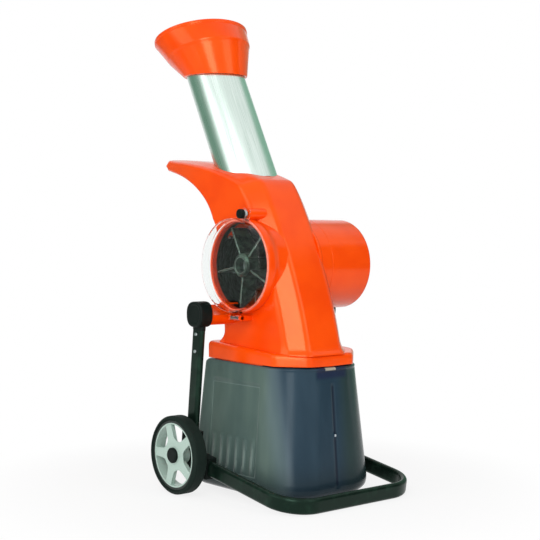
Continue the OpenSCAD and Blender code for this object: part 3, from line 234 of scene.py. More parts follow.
class Paint(Tree):
    """One material. Numbers and colours that are the same all over are set on the shader's own sockets."""

    def __init__(self, name, **plain):
        self.material = bpy.data.materials.new(name)
        super().__init__(self.material, "ShaderNodeOutputMaterial")
        self.shader = self.tree.nodes.new("ShaderNodeBsdfPrincipled")
        self.skin = Wire(self, self.shader.outputs[0])
        self.show(self.skin)
        self.feed(self.shader, {key.replace("_", " "): value for key, value in plain.items()})
        self.place = self.node("ShaderNodeTexCoord", {}, {}, "Object")

    def noise(self, size, detail, stretch=(1, 1, 1)):
        """Noise whose blobs are about size metres across, divided by the stretch of each axis."""
        where = self.node("ShaderNodeVectorMath", {"operation": "MULTIPLY"}, {0: self.place, 1: stretch})
        return self.node("ShaderNodeTexNoise", {},
                         {"Vector": where, "Scale": 1 / size, "Detail": detail, "Roughness": 0.55})

    def coordinate(self, axis):
        """One axis of the place in the frame, in metres."""
        return self.node("ShaderNodeSeparateXYZ", {}, {0: self.place}, axis)

    def on_machine(self):
        """The place in millimetres, from the wheel axle and the floor."""
        x, y, z = (self.coordinate(axis) / MM for axis in "XYZ")
        return x, y - AXLE_Y, z

    def blend(self, share, first, second):
        """Colour that goes from first to second as share goes from 0 to 1."""
        return self.node("ShaderNodeMix", {"data_type": "RGBA"}, {0: share, 6: first, 7: second}, 2)

    def softened(self, radius):
        """The normal, turned as if every edge had the radius."""
        return self.node("ShaderNodeBevel", {"samples": 6}, {"Radius": radius})

    def finish(self, colour, roughness, height, depth, edge=0.0, strength=0.5):
        """Feeds what changes over the surface: colour, roughness, and a bump over softened edges."""
        bump = {"Height": height, "Distance": depth, "Strength": strength}
        if edge:
            bump["Normal"] = self.softened(edge)
        self.feed(self.shader, {"Roughness": roughness, "Normal": self.node("ShaderNodeBump", {}, bump)})
        if colour is not None:
            self.feed(self.shader, {"Base Color": colour})
        return self.material


def tone(r, g, b):
    """A colour as it looks on screen, 0 to 255, as light values."""
    c = np.array([r, g, b]) / 255
    return (*np.where(c <= 0.04045, c / 12.92, ((c + 0.055) / 1.055) ** 2.4), 1.0)


# Camera, floor and light

def set_camera():
    """The camera of the photograph: 2.8 m away, towards the front left, a little above the middle."""
    down, towards_left = 1.39, 39.93
    camera = placed("camera", bpy.data.cameras.new("camera"))
    camera.location = (-1.7555, -2.1397, 0.5784)
    camera.rotation_euler = (turn(90 - down), 0, turn(-towards_left))
    camera.data.sensor_width = 36
    camera.data.lens = 76.9
    camera.data.shift_x = -0.0056
    camera.data.clip_end = 50
    bpy.context.scene.camera = camera


def set_world():
    """White surroundings: full white where they are seen, and half as strong as light on the object."""
    world = bpy.data.worlds.new("studio")
    bpy.context.scene.world = world
    sky = Tree(world, "ShaderNodeOutputWorld")
    light, white = (sky.node("ShaderNodeBackground", {}, {"Color": WHITE_LIGHT, "Strength": strength})
                    for strength in (0.5, 1.0))
    sky.show(sky.node("ShaderNodeMixShader", {}, {0: sky.seen(), 1: light, 2: white}))


def hang_lamps():
    """One broad lamp above the camera, and weaker ones below it and on both sides."""
    middle = (0, 0, 0.6)
    for name, at, aim, wide, tall, power in (
            ("key", (-2.2, -1.95, 1.8), middle, 1.2, 2.2, 50),
            ("low", (-2.0, -1.9, 0.35), (0, -0.1, 0.7), 0.8, 0.6, 7),
            ("side", (-3.0, 0.4, 1.6), middle, 1.6, 1.6, 14),
            ("fill", (0.9, -3.3, 2.4), middle, 2.0, 2.0, 20)):
        lamp = placed(name, bpy.data.lights.new(name, "AREA"))
        lamp.data.shape = "RECTANGLE"
        lamp.data.size, lamp.data.size_y = wide, tall
        lamp.data.energy = power
        lamp.location = at
        back = np.array(at) - np.array(aim)
        lamp.rotation_euler = (math.atan2(math.hypot(back[0], back[1]), back[2]), 0,
                               math.atan2(back[1], back[0]) + math.pi / 2)


def stage_sheet(name, grid, paint, only_reflected):
    """An open sheet of the studio through a grid of points in metres."""
    points, faces = surface(grid, False, False)
    mesh = bpy.data.meshes.new(name)
    mesh.from_pydata(points.tolist(), [], rows_of(faces))
    mesh.materials.append(paint.material)
    sheet = placed(name, mesh)
    if only_reflected:
        sheet.visible_camera = sheet.visible_diffuse = sheet.visible_shadow = False
        sheet.visible_transmission = sheet.visible_volume_scatter = False


def lay_floor():
    """White floor: where it is seen, mostly its own light, less so near the machine, to keep its shadow."""
    half, drop, least_own_light = 12.0, 0.0005, 0.82
    floor = Paint("pale_floor", Base_Color=(0.9, 0.9, 0.9, 1), Roughness=0.9)
    x, y = floor.coordinate("X"), floor.coordinate("Y")
    own_light = least_own_light + (1 - least_own_light) * (x * x + y * y).between(0.1, 0.6)
    floor.show(floor.node("ShaderNodeMixShader", {}, {0: floor.seen() * own_light, 1: floor.skin,
                                                      2: floor.glow(WHITE_LIGHT, 1.0)}))
    line = np.linspace(-half, half, 3)
    stage_sheet("floor", np.stack(np.broadcast_arrays(line[:, None], line, -drop), -1), floor, False)


def stand_panels():
    """Faint green panels beside the machine, seen in reflections only: upright arcs of a circle."""
    radius, bottom = 3.2, -0.2
    for name, first, last, top, strength in (("left_panel", 92, 150, 3.0, 0.3),
                                             ("right_panel", 34, -22, 3.4, 0.5),
                                             ("front_panel", -30, -64, 2.7, 0.08)):
        a = np.radians(np.linspace(first, last, 24))[:, None]
        grid = np.stack(np.broadcast_arrays(radius * np.cos(a), radius * np.sin(a), [bottom, top]), -1)
        paint = Paint(name)
        paint.show(paint.glow(GREEN_CAST, strength))
        stage_sheet(name, grid, paint, True)


# Surfaces: points of shape (n, 3), and faces as a list of arrays with a face in each row

def surface(grid, round_u, round_v, first_end=False, last_end=False):
    """A grid of shape (u, v, 3) as quads, one for each cell, and a flat face on an end row if asked."""
    u, v = grid.shape[:2]
    i = np.arange(u if round_u else u - 1)[:, None]
    j = np.arange(v if round_v else v - 1)[None, :]
    ii, jj = (i + 1) % u, (j + 1) % v
    quads = np.stack(np.broadcast_arrays(i * v + j, i * v + jj, ii * v + jj, ii * v + j), -1)
    faces = [quads.reshape(-1, 4)]
    if first_end:
        faces.append(np.arange(v)[None, ::-1])
    if last_end:
        faces.append((u - 1) * v + np.arange(v)[None])
    return grid.reshape(-1, 3), faces


def rows_of(faces):
    """Arrays of faces as one list."""
    return [row for some in faces for row in some.tolist()]


def joined(parts):
    """Several sets of points and faces as one."""
    starts = np.cumsum([0] + [len(points) for points, _ in parts])
    faces = [some + start for start, (_, arrays) in zip(starts, parts) for some in arrays]
    return np.concatenate([points for points, _ in parts]), faces


def in_frame(points):
    """Millimetres from the wheel axle to metres in the frame of the model."""
    return (points + AXLE_Y * Y) * MM


def mesh_of(name, parts):
    """A mesh of the parts: doubles merged, then faces turned outwards."""
    points, faces = joined(parts)
    mesh = bpy.data.meshes.new(name)
    mesh.from_pydata(in_frame(points).tolist(), [], rows_of(faces))
    work = bmesh.new()
    work.from_mesh(mesh)
    bmesh.ops.remove_doubles(work, verts=work.verts, dist=2e-6)
    bmesh.ops.dissolve_degenerate(work, edges=work.edges, dist=1e-7)
    bmesh.ops.recalc_face_normals(work, faces=work.faces)
    work.to_mesh(mesh)
    work.free()
    return mesh


def carve(mesh, cutters):
    """The mesh with the cutters taken out of it, by exact booleans."""
    body = placed("work", mesh)
    tools = [placed("tool", mesh_of("tool", [cutter])) for cutter in cutters]
    for tool in tools:
        cut = body.modifiers.new("cut", "BOOLEAN")
        cut.operation, cut.solver, cut.object = "DIFFERENCE", "EXACT", tool
    made = bpy.data.meshes.new_from_object(body.evaluated_get(bpy.context.evaluated_depsgraph_get()))
    for used in (body, *tools):
        bpy.data.objects.remove(used)
    return made


def with_parts(mesh, *others):
    """One mesh of several."""
    work = bmesh.new()
    for some in (mesh, *others):
        work.from_mesh(some)
    made = bpy.data.meshes.new(mesh.name)
    work.to_mesh(made)
    work.free()
    return made


def piece(name, mesh, paint, body, slot, *nodes):
    """A finished piece: smooth but for its sharp edges, riding on a body in place of solids."""
    sharp = turn(38)
    made = placed(name, mesh)
    mesh.materials.clear()
    mesh.materials.append(paint)
    mesh.polygons.foreach_set("use_smooth", np.ones(len(mesh.polygons), bool))
    mesh.set_sharp_from_angle(angle=sharp)
    steady = made.modifiers.new("steady", "WEIGHTED_NORMAL")
    steady.keep_sharp = True
    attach(made, body)
    if nodes:
        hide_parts(*nodes)


def parabola(a, b, c, t):
    """Curve from a to c that leans towards b: their shares are (1 - t) squared, 2t(1 - t) and t squared."""
    return a * (1 - t) ** 2 + b * 2 * t * (1 - t) + c * t ** 2


def bow(a, b, c, t):
    """A parabola of flat points, one row for each t."""
    return parabola(np.array(a), np.array(b), np.array(c), np.asarray(t, float)[:, None])


def eased(corners, cuts, steps=6, closed=True):
    """Polygons, one per row of corners, each corner a parabola that leaves its sides at the cut length."""
    most_of_side, no_length = 0.49, 1e-9
    before = np.roll(corners, 1, axis=1) - corners
    after = np.roll(corners, -1, axis=1) - corners
    if not closed:
        before[:, 0] = after[:, -1] = 0
    cut = np.broadcast_to(np.asarray(cuts, float), corners.shape[1])[None, :, None]
    lengths = [np.maximum(np.linalg.norm(way, axis=2, keepdims=True), no_length) for way in (before, after)]
    start, end = (corners + way * np.minimum(cut / length, most_of_side)
                  for way, length in zip((before, after), lengths))
    t = np.linspace(0, 1, steps)[None, None, :, None]
    curve = parabola(start[:, :, None], corners[:, :, None], end[:, :, None], t)
    return curve.reshape(len(corners), -1, 3)


def section(points, cuts, steps=6, closed=True):
    """One flat polygon of (a, b) points with eased corners."""
    flat = np.c_[np.array(points, float), np.zeros(len(points))][None]
    return eased(flat, cuts, steps, closed)[0, :, :2]


def closer(points, step):
    """The points of a line, with more put in evenly so that no stretch is longer than the step."""
    length = np.r_[0, np.cumsum(np.linalg.norm(np.diff(points, axis=0), axis=1))]
    extra = np.linspace(0, length[-1], int(length[-1] / step) + 2)
    at = np.unique(np.round(np.r_[length, extra], 6))
    return np.stack([np.interp(at, length, column) for column in points.T], -1)


def turned(profile, cuts=0.0, at=NO_POINT, along=X, sides=128, steps=5, closed=True, wave=None):
    """A profile of (radius, place) revolved about an axis; wave gives the radius's share by the angle."""
    outline = section(profile, cuts, steps, closed)
    across = np.cross(along, Y if abs(along[1]) < 0.5 else Z)
    across = across / np.linalg.norm(across)
    up = np.cross(along, across)
    a = np.arange(sides)[:, None, None] * 2 * math.pi / sides
    ray = np.cos(a) * across + np.sin(a) * up
    radius = outline[None, :, :1]
    if wave is not None:
        radius = radius * wave(a, outline[None, :, 1:])
    grid = at + outline[None, :, 1:] * along + radius * ray
    return surface(grid, True, closed)


def ring(inner, outer, start, end):
    """Profile of a plain ring, as (radius, place)."""
    return [(inner, start), (outer, start), (outer, end), (inner, end)]


def mirrored(profile, side):
    """A profile of (radius, place) on the side given by the sign."""
    return [(r, side * place) for r, place in profile]


def rod(r, start, end, at=NO_POINT, along=X, edge=0.0, sides=96):
    """A round bar between two places on an axis, its two rims eased."""
    return turned(ring(0, r, start, end), [0, edge, edge, 0], at, along, sides, 5, False)


def block(low, high, edge=0.0):
    """A box between two corners: a rectangle with eased corners carried up, its ends drawn in."""
    low, high = np.array(low, float), np.array(high, float)
    heights = [low[2], low[2] + edge, high[2] - edge, high[2]] if edge else [low[2], high[2]]
    insets = [edge, 0, 0, edge] if edge else [0, 0]
    rings = []
    for z, inset in zip(heights, insets):
        (x0, y0), (x1, y1) = low[:2] + inset, high[:2] - inset
        corners = [(x0, y0), (x1, y0), (x1, y1), (x0, y1)]
        outline = section(corners, edge, 4) if edge else np.array(corners)
        rings.append(np.c_[outline, np.full(len(outline), z)])
    return surface(np.stack(rings), False, True, True, True)


def stadium(h, t):
    """Closed outline of a flat-sided tube, h tall and t thick, with half-round ends."""
    points = 48
    a = (np.arange(points) + 0.5) * 2 * math.pi / points
    return np.c_[t / 2 * np.cos(a), (h - t) / 2 * np.sign(np.sin(a)) + t / 2 * np.sin(a)]


def carried(outline, path, side, up):
    """An outline of (side, up) points carried along a path that gives its own side and up directions."""
    grid = path[:, None] + outline[None, :, :1] * side[:, None] + outline[None, :, 1:] * up[:, None]
    return surface(grid, False, True, True, True)


def step_up(value, low, high):
    """0 below low, 1 above high, and a smooth step between."""
    t = np.clip((value - low) / (high - low), 0, 1)
    return t * t * (3 - 2 * t)


def window_of(value, low, high, soft):
    """1 between low and high, falling to 0 over the soft length outside them."""
    return step_up(value, low - soft, low) * (1 - step_up(value, high, high + soft))


# Paints: noise sizes, bump depths and edge radii are in metres

def orange_plastic():
    """Moulded orange: slow tone drift, fine spark-eroded grain, and the parting line of the two halves."""
    p = Paint("orange_plastic", Specular_IOR_Level=0.42, Specular_Tint=(1, 0.8, 0.42, 1))
    drift, grain, fine = p.noise(0.09, 2), p.noise(0.0011, 2), p.noise(0.012, 3)
    x, _, z = p.on_machine()
    line = x.near(SEAM_X, 0.2, 0.4) * z.inside(360, 830, 10, 10)
    colour = p.blend(drift.between(0.3, 0.7), tone(240, 68, 0), tone(247, 77, 3))
    colour = p.blend(line * 0.6, colour, tone(150, 40, 8))
    rough = 0.15 + 0.06 * fine + 0.03 * grain
    height = grain * 0.5 + fine * 0.4 - line * 2
    return p.finish(colour, rough, height, depth=0.00025, edge=0.0012, strength=0.35)


def brushed_tube():
    """Anodised aluminium, drawn lengthwise: long fine streaks along the leaning axis."""
    p = Paint("brushed_tube", Metallic=1.0, Anisotropic=0.35)
    along = p.node("ShaderNodeMapping", {"vector_type": "TEXTURE"},
                   {"Vector": p.place, "Rotation": (-CHUTE_LEAN, 0, 0)})
    fine = p.node("ShaderNodeVectorMath", {"operation": "MULTIPLY"}, {0: along, 1: (900, 900, 9)})
    streak = p.node("ShaderNodeTexNoise", {}, {"Vector": fine, "Scale": 1.0, "Detail": 3.0})
    cloud = p.noise(0.05, 2)
    colour = p.blend(streak.between(0.25, 0.75), tone(194, 212, 203), tone(224, 236, 230))
    rough = 0.24 + 0.06 * streak + 0.03 * cloud
    return p.finish(colour, rough, streak, depth=0.00002, strength=0.15)


def black_paint():
    """Gloss black enamel on tube: faint orange peel and a green cast."""
    p = Paint("black_paint", Specular_IOR_Level=0.22, Specular_Tint=GREEN_CAST)
    peel, dust = p.noise(0.004, 2), p.noise(0.03, 4)
    colour = p.blend(dust.between(0.45, 0.75), (0.003, 0.008, 0.0055, 1), (0.008, 0.022, 0.014, 1))
    return p.finish(colour, 0.24 + 0.14 * dust, peel, depth=0.0002, edge=0.001, strength=0.25)


def moulded_plastic(name, colour, edge=0.0012):
    """Moulded plastic or rubber: fine leather-like grain and a slow sheen drift."""
    p = Paint(name, Specular_IOR_Level=0.1)
    grain, drift = p.noise(0.0013, 3), p.noise(0.025, 2)
    lighter = (*(1.5 * c for c in colour[:3]), 1)
    tint = p.blend(drift.between(0.3, 0.8), colour, lighter)
    return p.finish(tint, 0.4 + 0.16 * drift, grain, depth=0.0003, edge=edge, strength=0.4)


def tyre_rubber():
    """Soft black tread with a little pale dust in the grain."""
    p = Paint("tyre_rubber", Specular_IOR_Level=0.15, Specular_Tint=(0.75, 1, 0.88, 1))
    grain, dust = p.noise(0.002, 4), p.noise(0.02, 5)
    dusty = dust.between(0.55, 0.8) * 0.5
    colour = p.blend(dusty, (0.008, 0.014, 0.0115, 1), (0.022, 0.034, 0.028, 1))
    return p.finish(colour, 0.62 + 0.2 * dust, grain, depth=0.0004, edge=0.0012, strength=0.4)


def rim_silver():
    """Silver-painted moulding: tiny flakes under a soft clear coat, and the tyre's dark bead at its edge."""
    p = Paint("rim_silver", Metallic=0.15, Coat_Weight=0.15, Coat_Roughness=0.2)
    flake, drift = p.noise(0.0006, 1), p.noise(0.02, 3)
    _, back, high = p.on_machine()
    up = high - WHEEL_R
    bead = (back * back + up * up).root().between(73.4, 74)
    colour = p.blend(flake.between(0.35, 0.7), tone(160, 187, 174), tone(196, 215, 206))
    colour = p.blend(bead, colour, tone(27, 38, 33))
    rough = 0.34 + 0.1 * drift + 0.2 * bead
    return p.finish(colour, rough, flake, depth=0.00008, edge=0.0012, strength=0.3)


def smoked_box():
    """Smoked moulding: slate blue with flow marks. Its sides are painted lighter and greener, as lit faces;
    painted highlights lie on the ribs, the rim of the field, the left front corner, the lip of the scoop and
    the lug; painted shade lies in the scoop and the groove, at the foot, and on the right half of the front.
    """
    p = Paint("smoked_box", Specular_IOR_Level=0.15, Specular_Tint=(0.85, 0.97, 1, 1))
    haze, flow, scuff = p.noise(0.006, 3), p.noise(0.05, 2, (1, 1, 0.25)), p.noise(0.0012, 2, (1, 1, 0.2))
    x, y, z = p.on_machine()
    side, front = abs(x).between(112, 130), y.below(-225.4, 10)
    rib = ((y - FIELD_Y[0]) / RIB_PITCH).fraction().near(0.5, 0.08, 0.12)
    (y0, y1), (z0, z1), soft = FIELD_Y, FIELD_Z, 2
    field = (y.inside(y0 - soft, y1 + soft, 2 * soft, 2 * soft)
             * z.inside(z0 - soft, z1 + soft, 2 * soft, 2 * soft))
    flowing = flow.between(0.3, 0.75)
    colour = p.blend(flowing, tone(38, 56, 69), tone(44, 63, 76))
    for share, shade in (
            # painted light: the sides lighter and greener than the front, as lit faces
            (side, p.blend(flowing, tone(76, 94, 90), tone(88, 106, 99))),
            # painted shade, greener, on the right half of the front; a painted highlight on the left front
            # corner; painted shade darkening the foot
            (x.between(6, 46) * 0.85, tone(43, 59, 57)),
            (x.near(-123, 4, 14) * y.below(-185.4, 30) * 0.45, tone(92, 109, 117)),
            (z.below(100, 90) * 0.75, tone(30, 42, 48)),
            # painted highlights on the ribs and on the rim of the field on the sides
            (rib * side * z.inside(56, 140, 20, 50) * y.between(-175.4, -171.4) * 0.7, tone(124, 140, 134)),
            ((1 - abs(field - 0.5) * 2) * side * 0.5, tone(120, 138, 132)),
            # painted shade in the scoop, a painted highlight on its lip, painted shade in the groove and a
            # painted glint on the lug, on the front
            (x.near(0, 38, 12) * z.between(268, 280) * front * 0.7, tone(34, 38, 66)),
            (x.near(-5, 14, 3) * z.inside(290, 298.5, 3, 1) * front * 0.8, tone(186, 178, 158)),
            (x.near(0, 2, 3) * z.inside(30, 262, 10, 10) * front * 0.75, tone(20, 27, 42)),
            (x.near(0, 2, 1) * z.near(146, 2, 1) * front * 0.8, tone(196, 208, 214))):
        colour = p.blend(share, colour, shade)
    rough = 0.14 + 0.1 * haze + 0.06 * scuff
    return p.finish(colour, rough, flow * 0.5 + scuff * 0.1, depth=0.0003, edge=0.001, strength=0.25)


def clear_cover():
    """Clear moulded window: fine swirls of wear that only soften the shine."""
    p = Paint("clear_cover", IOR=1.14, Transmission_Weight=1.0, Base_Color=(0.97, 0.985, 0.98, 1),
              Coat_Weight=0.15, Coat_Roughness=0.04)
    swirl, haze = p.noise(0.004, 4), p.noise(0.05, 2)
    return p.finish(None, 0.01 + 0.05 * haze.between(0.5, 0.9), swirl, depth=0.00005, strength=0.15)


def metal(name, dark, light, rough, size, stretch=(1, 1, 1), depth=0.0001):
    """Bare metal: two tones in grain of a given size and direction, and worn patches that shine less."""
    p = Paint(name, Metallic=1.0)
    grain, patch = p.noise(size, 3, stretch), p.noise(0.02, 4)
    colour = p.blend(grain.between(0.3, 0.7), dark, light)
    rough = rough + 0.14 * patch + 0.06 * grain
    return p.finish(colour, rough, grain, depth=depth, edge=0.0008, strength=0.35)


def dark_vane():
    """Cast wheel with a dark oxide skin, and painted highlights along its edges, where the softened normal
    leaves the true one.
    """
    p = Paint("dark_vane", Metallic=0.6, Specular_IOR_Level=0.2)
    grain, patch = p.noise(0.004, 3), p.noise(0.02, 4)
    colour = p.blend((patch + 0.3 * grain).between(0.5, 0.8), tone(18, 32, 24), tone(72, 94, 80))
    true = p.node("ShaderNodeNewGeometry", {}, {}, "True Normal")
    same = p.node("ShaderNodeVectorMath", {"operation": "DOT_PRODUCT"}, {0: p.softened(0.0025), 1: true},
                  "Value")
    # painted highlight along the edges
    colour = p.blend((1 - same).between(0.04, 0.25), colour, tone(168, 186, 176))
    return p.finish(colour, 0.3 + 0.14 * patch, patch, depth=0.00006, edge=0.0008, strength=0.2)


def casing_liner():
    """Dark drawn steel, with an orange lip around its open end."""
    p = Paint("casing_liner")
    grain, patch = p.noise(0.004, 3, (1, 0.3, 0.3)), p.noise(0.02, 4)
    x, _, _ = p.on_machine()
    lip = x.below(-109, 1)
    p.feed(p.shader, {"Metallic": 1 - lip})
    colour = p.blend(grain.between(0.3, 0.7), tone(56, 70, 62), tone(108, 126, 115))
    colour = p.blend(lip, colour, tone(196, 50, 14))
    return p.finish(colour, 0.24 + 0.12 * patch, grain, depth=0.0001, edge=0.0008, strength=0.35)


def winding():
    """Laminated core and varnished copper: thin rings across the shaft."""
    p = Paint("winding", Metallic=0.7)
    sheet = p.node("ShaderNodeTexWave", {"bands_direction": "X"},
                   {"Vector": p.place, "Scale": 160.0, "Distortion": 0.4})
    patch = p.noise(0.01, 3)
    colour = p.blend(sheet, tone(92, 60, 40), tone(150, 96, 58))
    return p.finish(colour, 0.4 + 0.2 * patch, sheet, depth=0.0003, edge=0.0008)


def gloss_button(name, low, high):
    """Glossy push button with a soft mottled tone."""
    p = Paint(name, IOR=1.49, Coat_Weight=0.2)
    mottle = p.noise(0.006, 3)
    return p.finish(p.blend(mottle, low, high), 0.22 + 0.1 * mottle, mottle, depth=0.00008, edge=0.0012)


ORANGE = orange_plastic()
TUBE = brushed_tube()
ENAMEL = black_paint()
BLACK = moulded_plastic("black_plastic", (0.0045, 0.0075, 0.0065, 1))
WHITE = moulded_plastic("white_nylon", tone(226, 226, 220))
GASKET = moulded_plastic("gasket_rubber", tone(236, 128, 104), 0.0005)
TYRE = tyre_rubber()
RIM = rim_silver()
SMOKE = smoked_box()
CLEAR = clear_cover()
ZINC = metal("zinc_plate", tone(150, 158, 160), tone(206, 212, 212), 0.24, 0.0015)
SHEET = metal("dark_sheet", tone(58, 64, 64), tone(92, 99, 98), 0.36, 0.003)
CAST = metal("cast_metal", tone(84, 92, 90), tone(140, 148, 146), 0.34, 0.0022, depth=0.0003)
VANE = dark_vane()
LINER = casing_liner()
BLADE = metal("ground_steel", tone(176, 182, 184), tone(226, 230, 230), 0.18, 0.0008, (1, 6, 6))
COPPER = winding()
GREEN = gloss_button("green_button", tone(34, 128, 62), tone(48, 150, 76))
RED = gloss_button("red_button", tone(184, 32, 26), tone(206, 46, 36))

BY_SLOT = {"black_metal": ENAMEL, "black_plastic": BLACK, "steel": ZINC, "tyre": TYRE, "rim": RIM,
           "white_plastic": WHITE, "orange": ORANGE, "aluminium": TUBE, "dark_sheet": SHEET, "cast": CAST,
           "core": COPPER, "gasket": GASKET, "clear": CLEAR, "green_button": GREEN, "red_button": RED,
           "smoke": SMOKE}
BY_NODE = {"cutting_blades": BLADE, "shear_plate": BLADE, "impeller": VANE, "impeller_casing": LINER,
           "hinge_pin": CAST}


def paint_solids():
    """Every solid gets its own paint, or else the paint of its slot."""
    for part in frame["record"]["subparts"]:
        mesh = frame["nodes"][part["node"]].data
        mesh.materials.clear()
        mesh.materials.append(BY_NODE.get(part["node"], BY_SLOT[part["material_slot"]]))


# Head: its body is drawn at rungs, counted from the foot

THROAT, BROW, HORN, TIP_RUNGS = 7, 8, 20, 2


def body_lines(r):
    """Front and back line of the body, as (y, z), at rungs r from its foot, over the brow, to the horn.

    Each is given twice: on the middle of the body, and on its flat side, drawn in by the bevel. On the rungs
    past the horn, its tip, the lines meet half way."""
    brow_ease = 0.55
    foot_front, brow_at, horn_top = (-268, 319), (-104, 720), (262, 788)
    foot_back, throat_at, horn_under = (1, 319), (35, 612), (262, 755)
    bevel_in, bevel_down, bevel_faded, side_in, side_up, tip_out = 39.0, 14.0, 10.0, 8, 4, 9
    tip = np.clip((r - HORN) / TIP_RUNGS, 0, 1)
    r = np.minimum(r, HORN)

    def front(q):
        """Two parabolas: foot to brow, and brow to horn."""
        low = bow(foot_front, (-233, 510), brow_at, np.clip(q / BROW, 0, 1))
        top = bow(brow_at, (32, 775), horn_top, np.clip((q - BROW) / (HORN - BROW), 0, 1))
        return np.where((q < BROW)[:, None], low, top)

    def bevelled(q):
        """The front line drawn in and down, by less and less along the horn."""
        share, past = np.clip(q - THROAT, 0, 1), np.clip((q - BROW) / (HORN - BROW), 0, 1)
        along = bevel_in * np.where(q < BROW, 1 - 0.1 * share, 0.9 * (1 - past) ** 3)
        return front(q) + np.c_[along, (bevel_faded * past ** 2 - bevel_down) * share]

    def round_brow(line):
        """A line whose corner at the brow is a parabola."""
        t = np.clip((r - BROW + brow_ease) / (2 * brow_ease), 0, 1)[:, None]
        a, b, c = (line(np.full(len(r), q)) for q in (BROW - brow_ease, float(BROW), BROW + brow_ease))
        return np.where((np.abs(r - BROW) < brow_ease)[:, None], parabola(a, b, c, t), line(r))

    lower = bow(throat_at, (4, 480), foot_back, 1 - np.clip(r / THROAT, 0, 1))
    under = bow(horn_under, (67, 725), throat_at, np.clip(1 - (r - THROAT) / (HORN - THROAT), 0, 1))
    back = np.where((r < THROAT)[:, None], lower, under)
    over_throat, at_horn = (np.clip(r - rung, 0, 1)[:, None] for rung in (THROAT, HORN - 1))
    inwards, upwards = np.array([-side_in, 0]), np.array([0, side_up])
    front_mid, front_side = round_brow(front), round_brow(bevelled) + at_horn * inwards
    back_side = back + (1 - over_throat) * inwards + over_throat * upwards + at_horn * inwards
    out = np.c_[tip_out * np.sin(tip * math.pi / 2), np.zeros(len(r))]
    half = tip[:, None] / 2
    pairs = (front_mid, back), (front_side, back_side), (back_side, front_side), (back, front_mid)
    return [line + (other - line) * half + out for line, other in pairs]


def body_skin():
    """Closed skin of the head: an eight-sided section with eased corners, carried from foot to horn.

    The horn narrows with the power 1.5 of the way along it. The foot spreads outwards, most at the back, by
    the cube of what is left of its lowest part."""
    flat, side = 47.5, 86.5
    taper_from, taper_length, taper = 90, 172, 0.26
    foot_high, spread, spread_back, spread_front, sunk = 34, 3, 12, 5, 2
    r = np.r_[np.linspace(0, 1.4, 29), np.linspace(1.5, HORN, 149),
              HORN + TIP_RUNGS * np.sin(np.linspace(0, math.pi / 2, 10)[1:])]
    front, front_side, back_side, back = body_lines(r)
    right = [(flat, front), (side, front_side), (side, back_side), (flat, back)]
    corners = []
    for x, line in right + [(-x, line) for x, line in right[::-1]]:
        along = np.clip((line[:, 0] - taper_from) / taper_length, 0, 1)
        corners.append(np.c_[x * (1 - taper * along ** 1.5) + HEAD_X, line])
    grid = eased(np.stack(corners, 1), [9, 12, 9, 14, 14, 9, 12, 9], 7)
    way = np.roll(grid, -1, 1) - np.roll(grid, 1, 1)
    out = np.stack([way[:, :, 1], -way[:, :, 0]], -1)
    out = out / np.linalg.norm(out, axis=2, keepdims=True)
    high = np.clip((grid[:, :, 2:] - plinth_top(grid[:, :, 1:2])) / foot_high, 0, 1)
    behind, ahead = step_up(out[:, :, 1:], -0.2, 0.6), step_up(-out[:, :, 1:], 0.5, 0.7)
    grid[:, :, :2] += out * (spread + spread_back * behind + spread_front * ahead) * (1 - high) ** 3
    grid[:, :, 2] = np.maximum(grid[:, :, 2], plinth_top(grid[:, :, 1]) - sunk)
    return surface(grid, False, True, True, False)


def half_of(mesh, side, name):
    """The part of a mesh on one side of the seam."""
    work = bmesh.new()
    work.from_mesh(mesh)
    everything = list(work.verts) + list(work.edges) + list(work.faces)
    bmesh.ops.bisect_plane(work, geom=everything, plane_co=(SEAM_X * MM, 0, 0), plane_no=(1, 0, 0),
                           clear_outer=side < 0, clear_inner=side > 0, dist=1e-7)
    made = bpy.data.meshes.new(name)
    work.to_mesh(made)
    work.free()
    return made


def casing_openings():
    """Round bars taken out of the head, for the drum, the feed tube, and the ducts in and out."""
    drum_back, tube_way_top, infeed_low, overlap, discharge_ends = -16, 460, 60, 2, (-20, 40)
    infeed, discharge = CHUTE - 38 * X, ROTOR - 52 * X - 190 * Z
    return [rod(DRUM_BORE_R, -THROUGH, drum_back, ROTOR),
            rod(CHUTE_R + FIT, CHUTE_START, tube_way_top, CHUTE, CHUTE_WAY),
            rod(DUCT_R, infeed_low, CHUTE_START + overlap, infeed, CHUTE_WAY),
            rod(DUCT_R, *discharge_ends, discharge, Z)]


def window_drum():
    """Wall around the chopping wheel, revolved about the rotor: thin at its root, then flared."""
    root, flare_start, flare_end = -60, -92, -106
    wall = [(DRUM_BORE_R, root), (104.4, root), (104.8, flare_start), (111, flare_end), (110, -DRUM_FACE),
            (DRUM_BORE_R, -DRUM_FACE)]
    return mesh_of("drum", [turned(wall, [0, 0.5, 9, 7, 3, 1.5], ROTOR, sides=160)])


def knob_boss():
    """Round boss behind the thumb knob, with a bore for its shank."""
    boss_r, boss_root, bore_r, bore_end = 13, -74, 6.2, -60
    boss = mesh_of("boss", [rod(boss_r, -GASKET_FACE, boss_root, KNOB, X, 1.0)])
    return carve(boss, [rod(bore_r, -THROUGH, bore_end, KNOB)])


def hinge_ears():
    """Two ears for the hinge pin of the cover, each a round end and a flat arm."""
    half, off, reach = 3, 18.8, 33
    ears = []
    for side, _ in SIDES:
        at = HINGE + side * off * Y
        ears.append(rod(HINGE_R, -half, half, at, Y, 0.6, 48))
        ears.append(block(at - [0, half, HINGE_R], at + [reach, half, HINGE_R], 0.8))
    return mesh_of("ears", ears)


def neck(name, start, end, room):
    """Round neck between the head and a knuckle, relieved by the room of what passes it."""
    return carve(mesh_of(name, [rod(NECK_R, start, end, KNUCKLE, X, 1.5)]), [room])


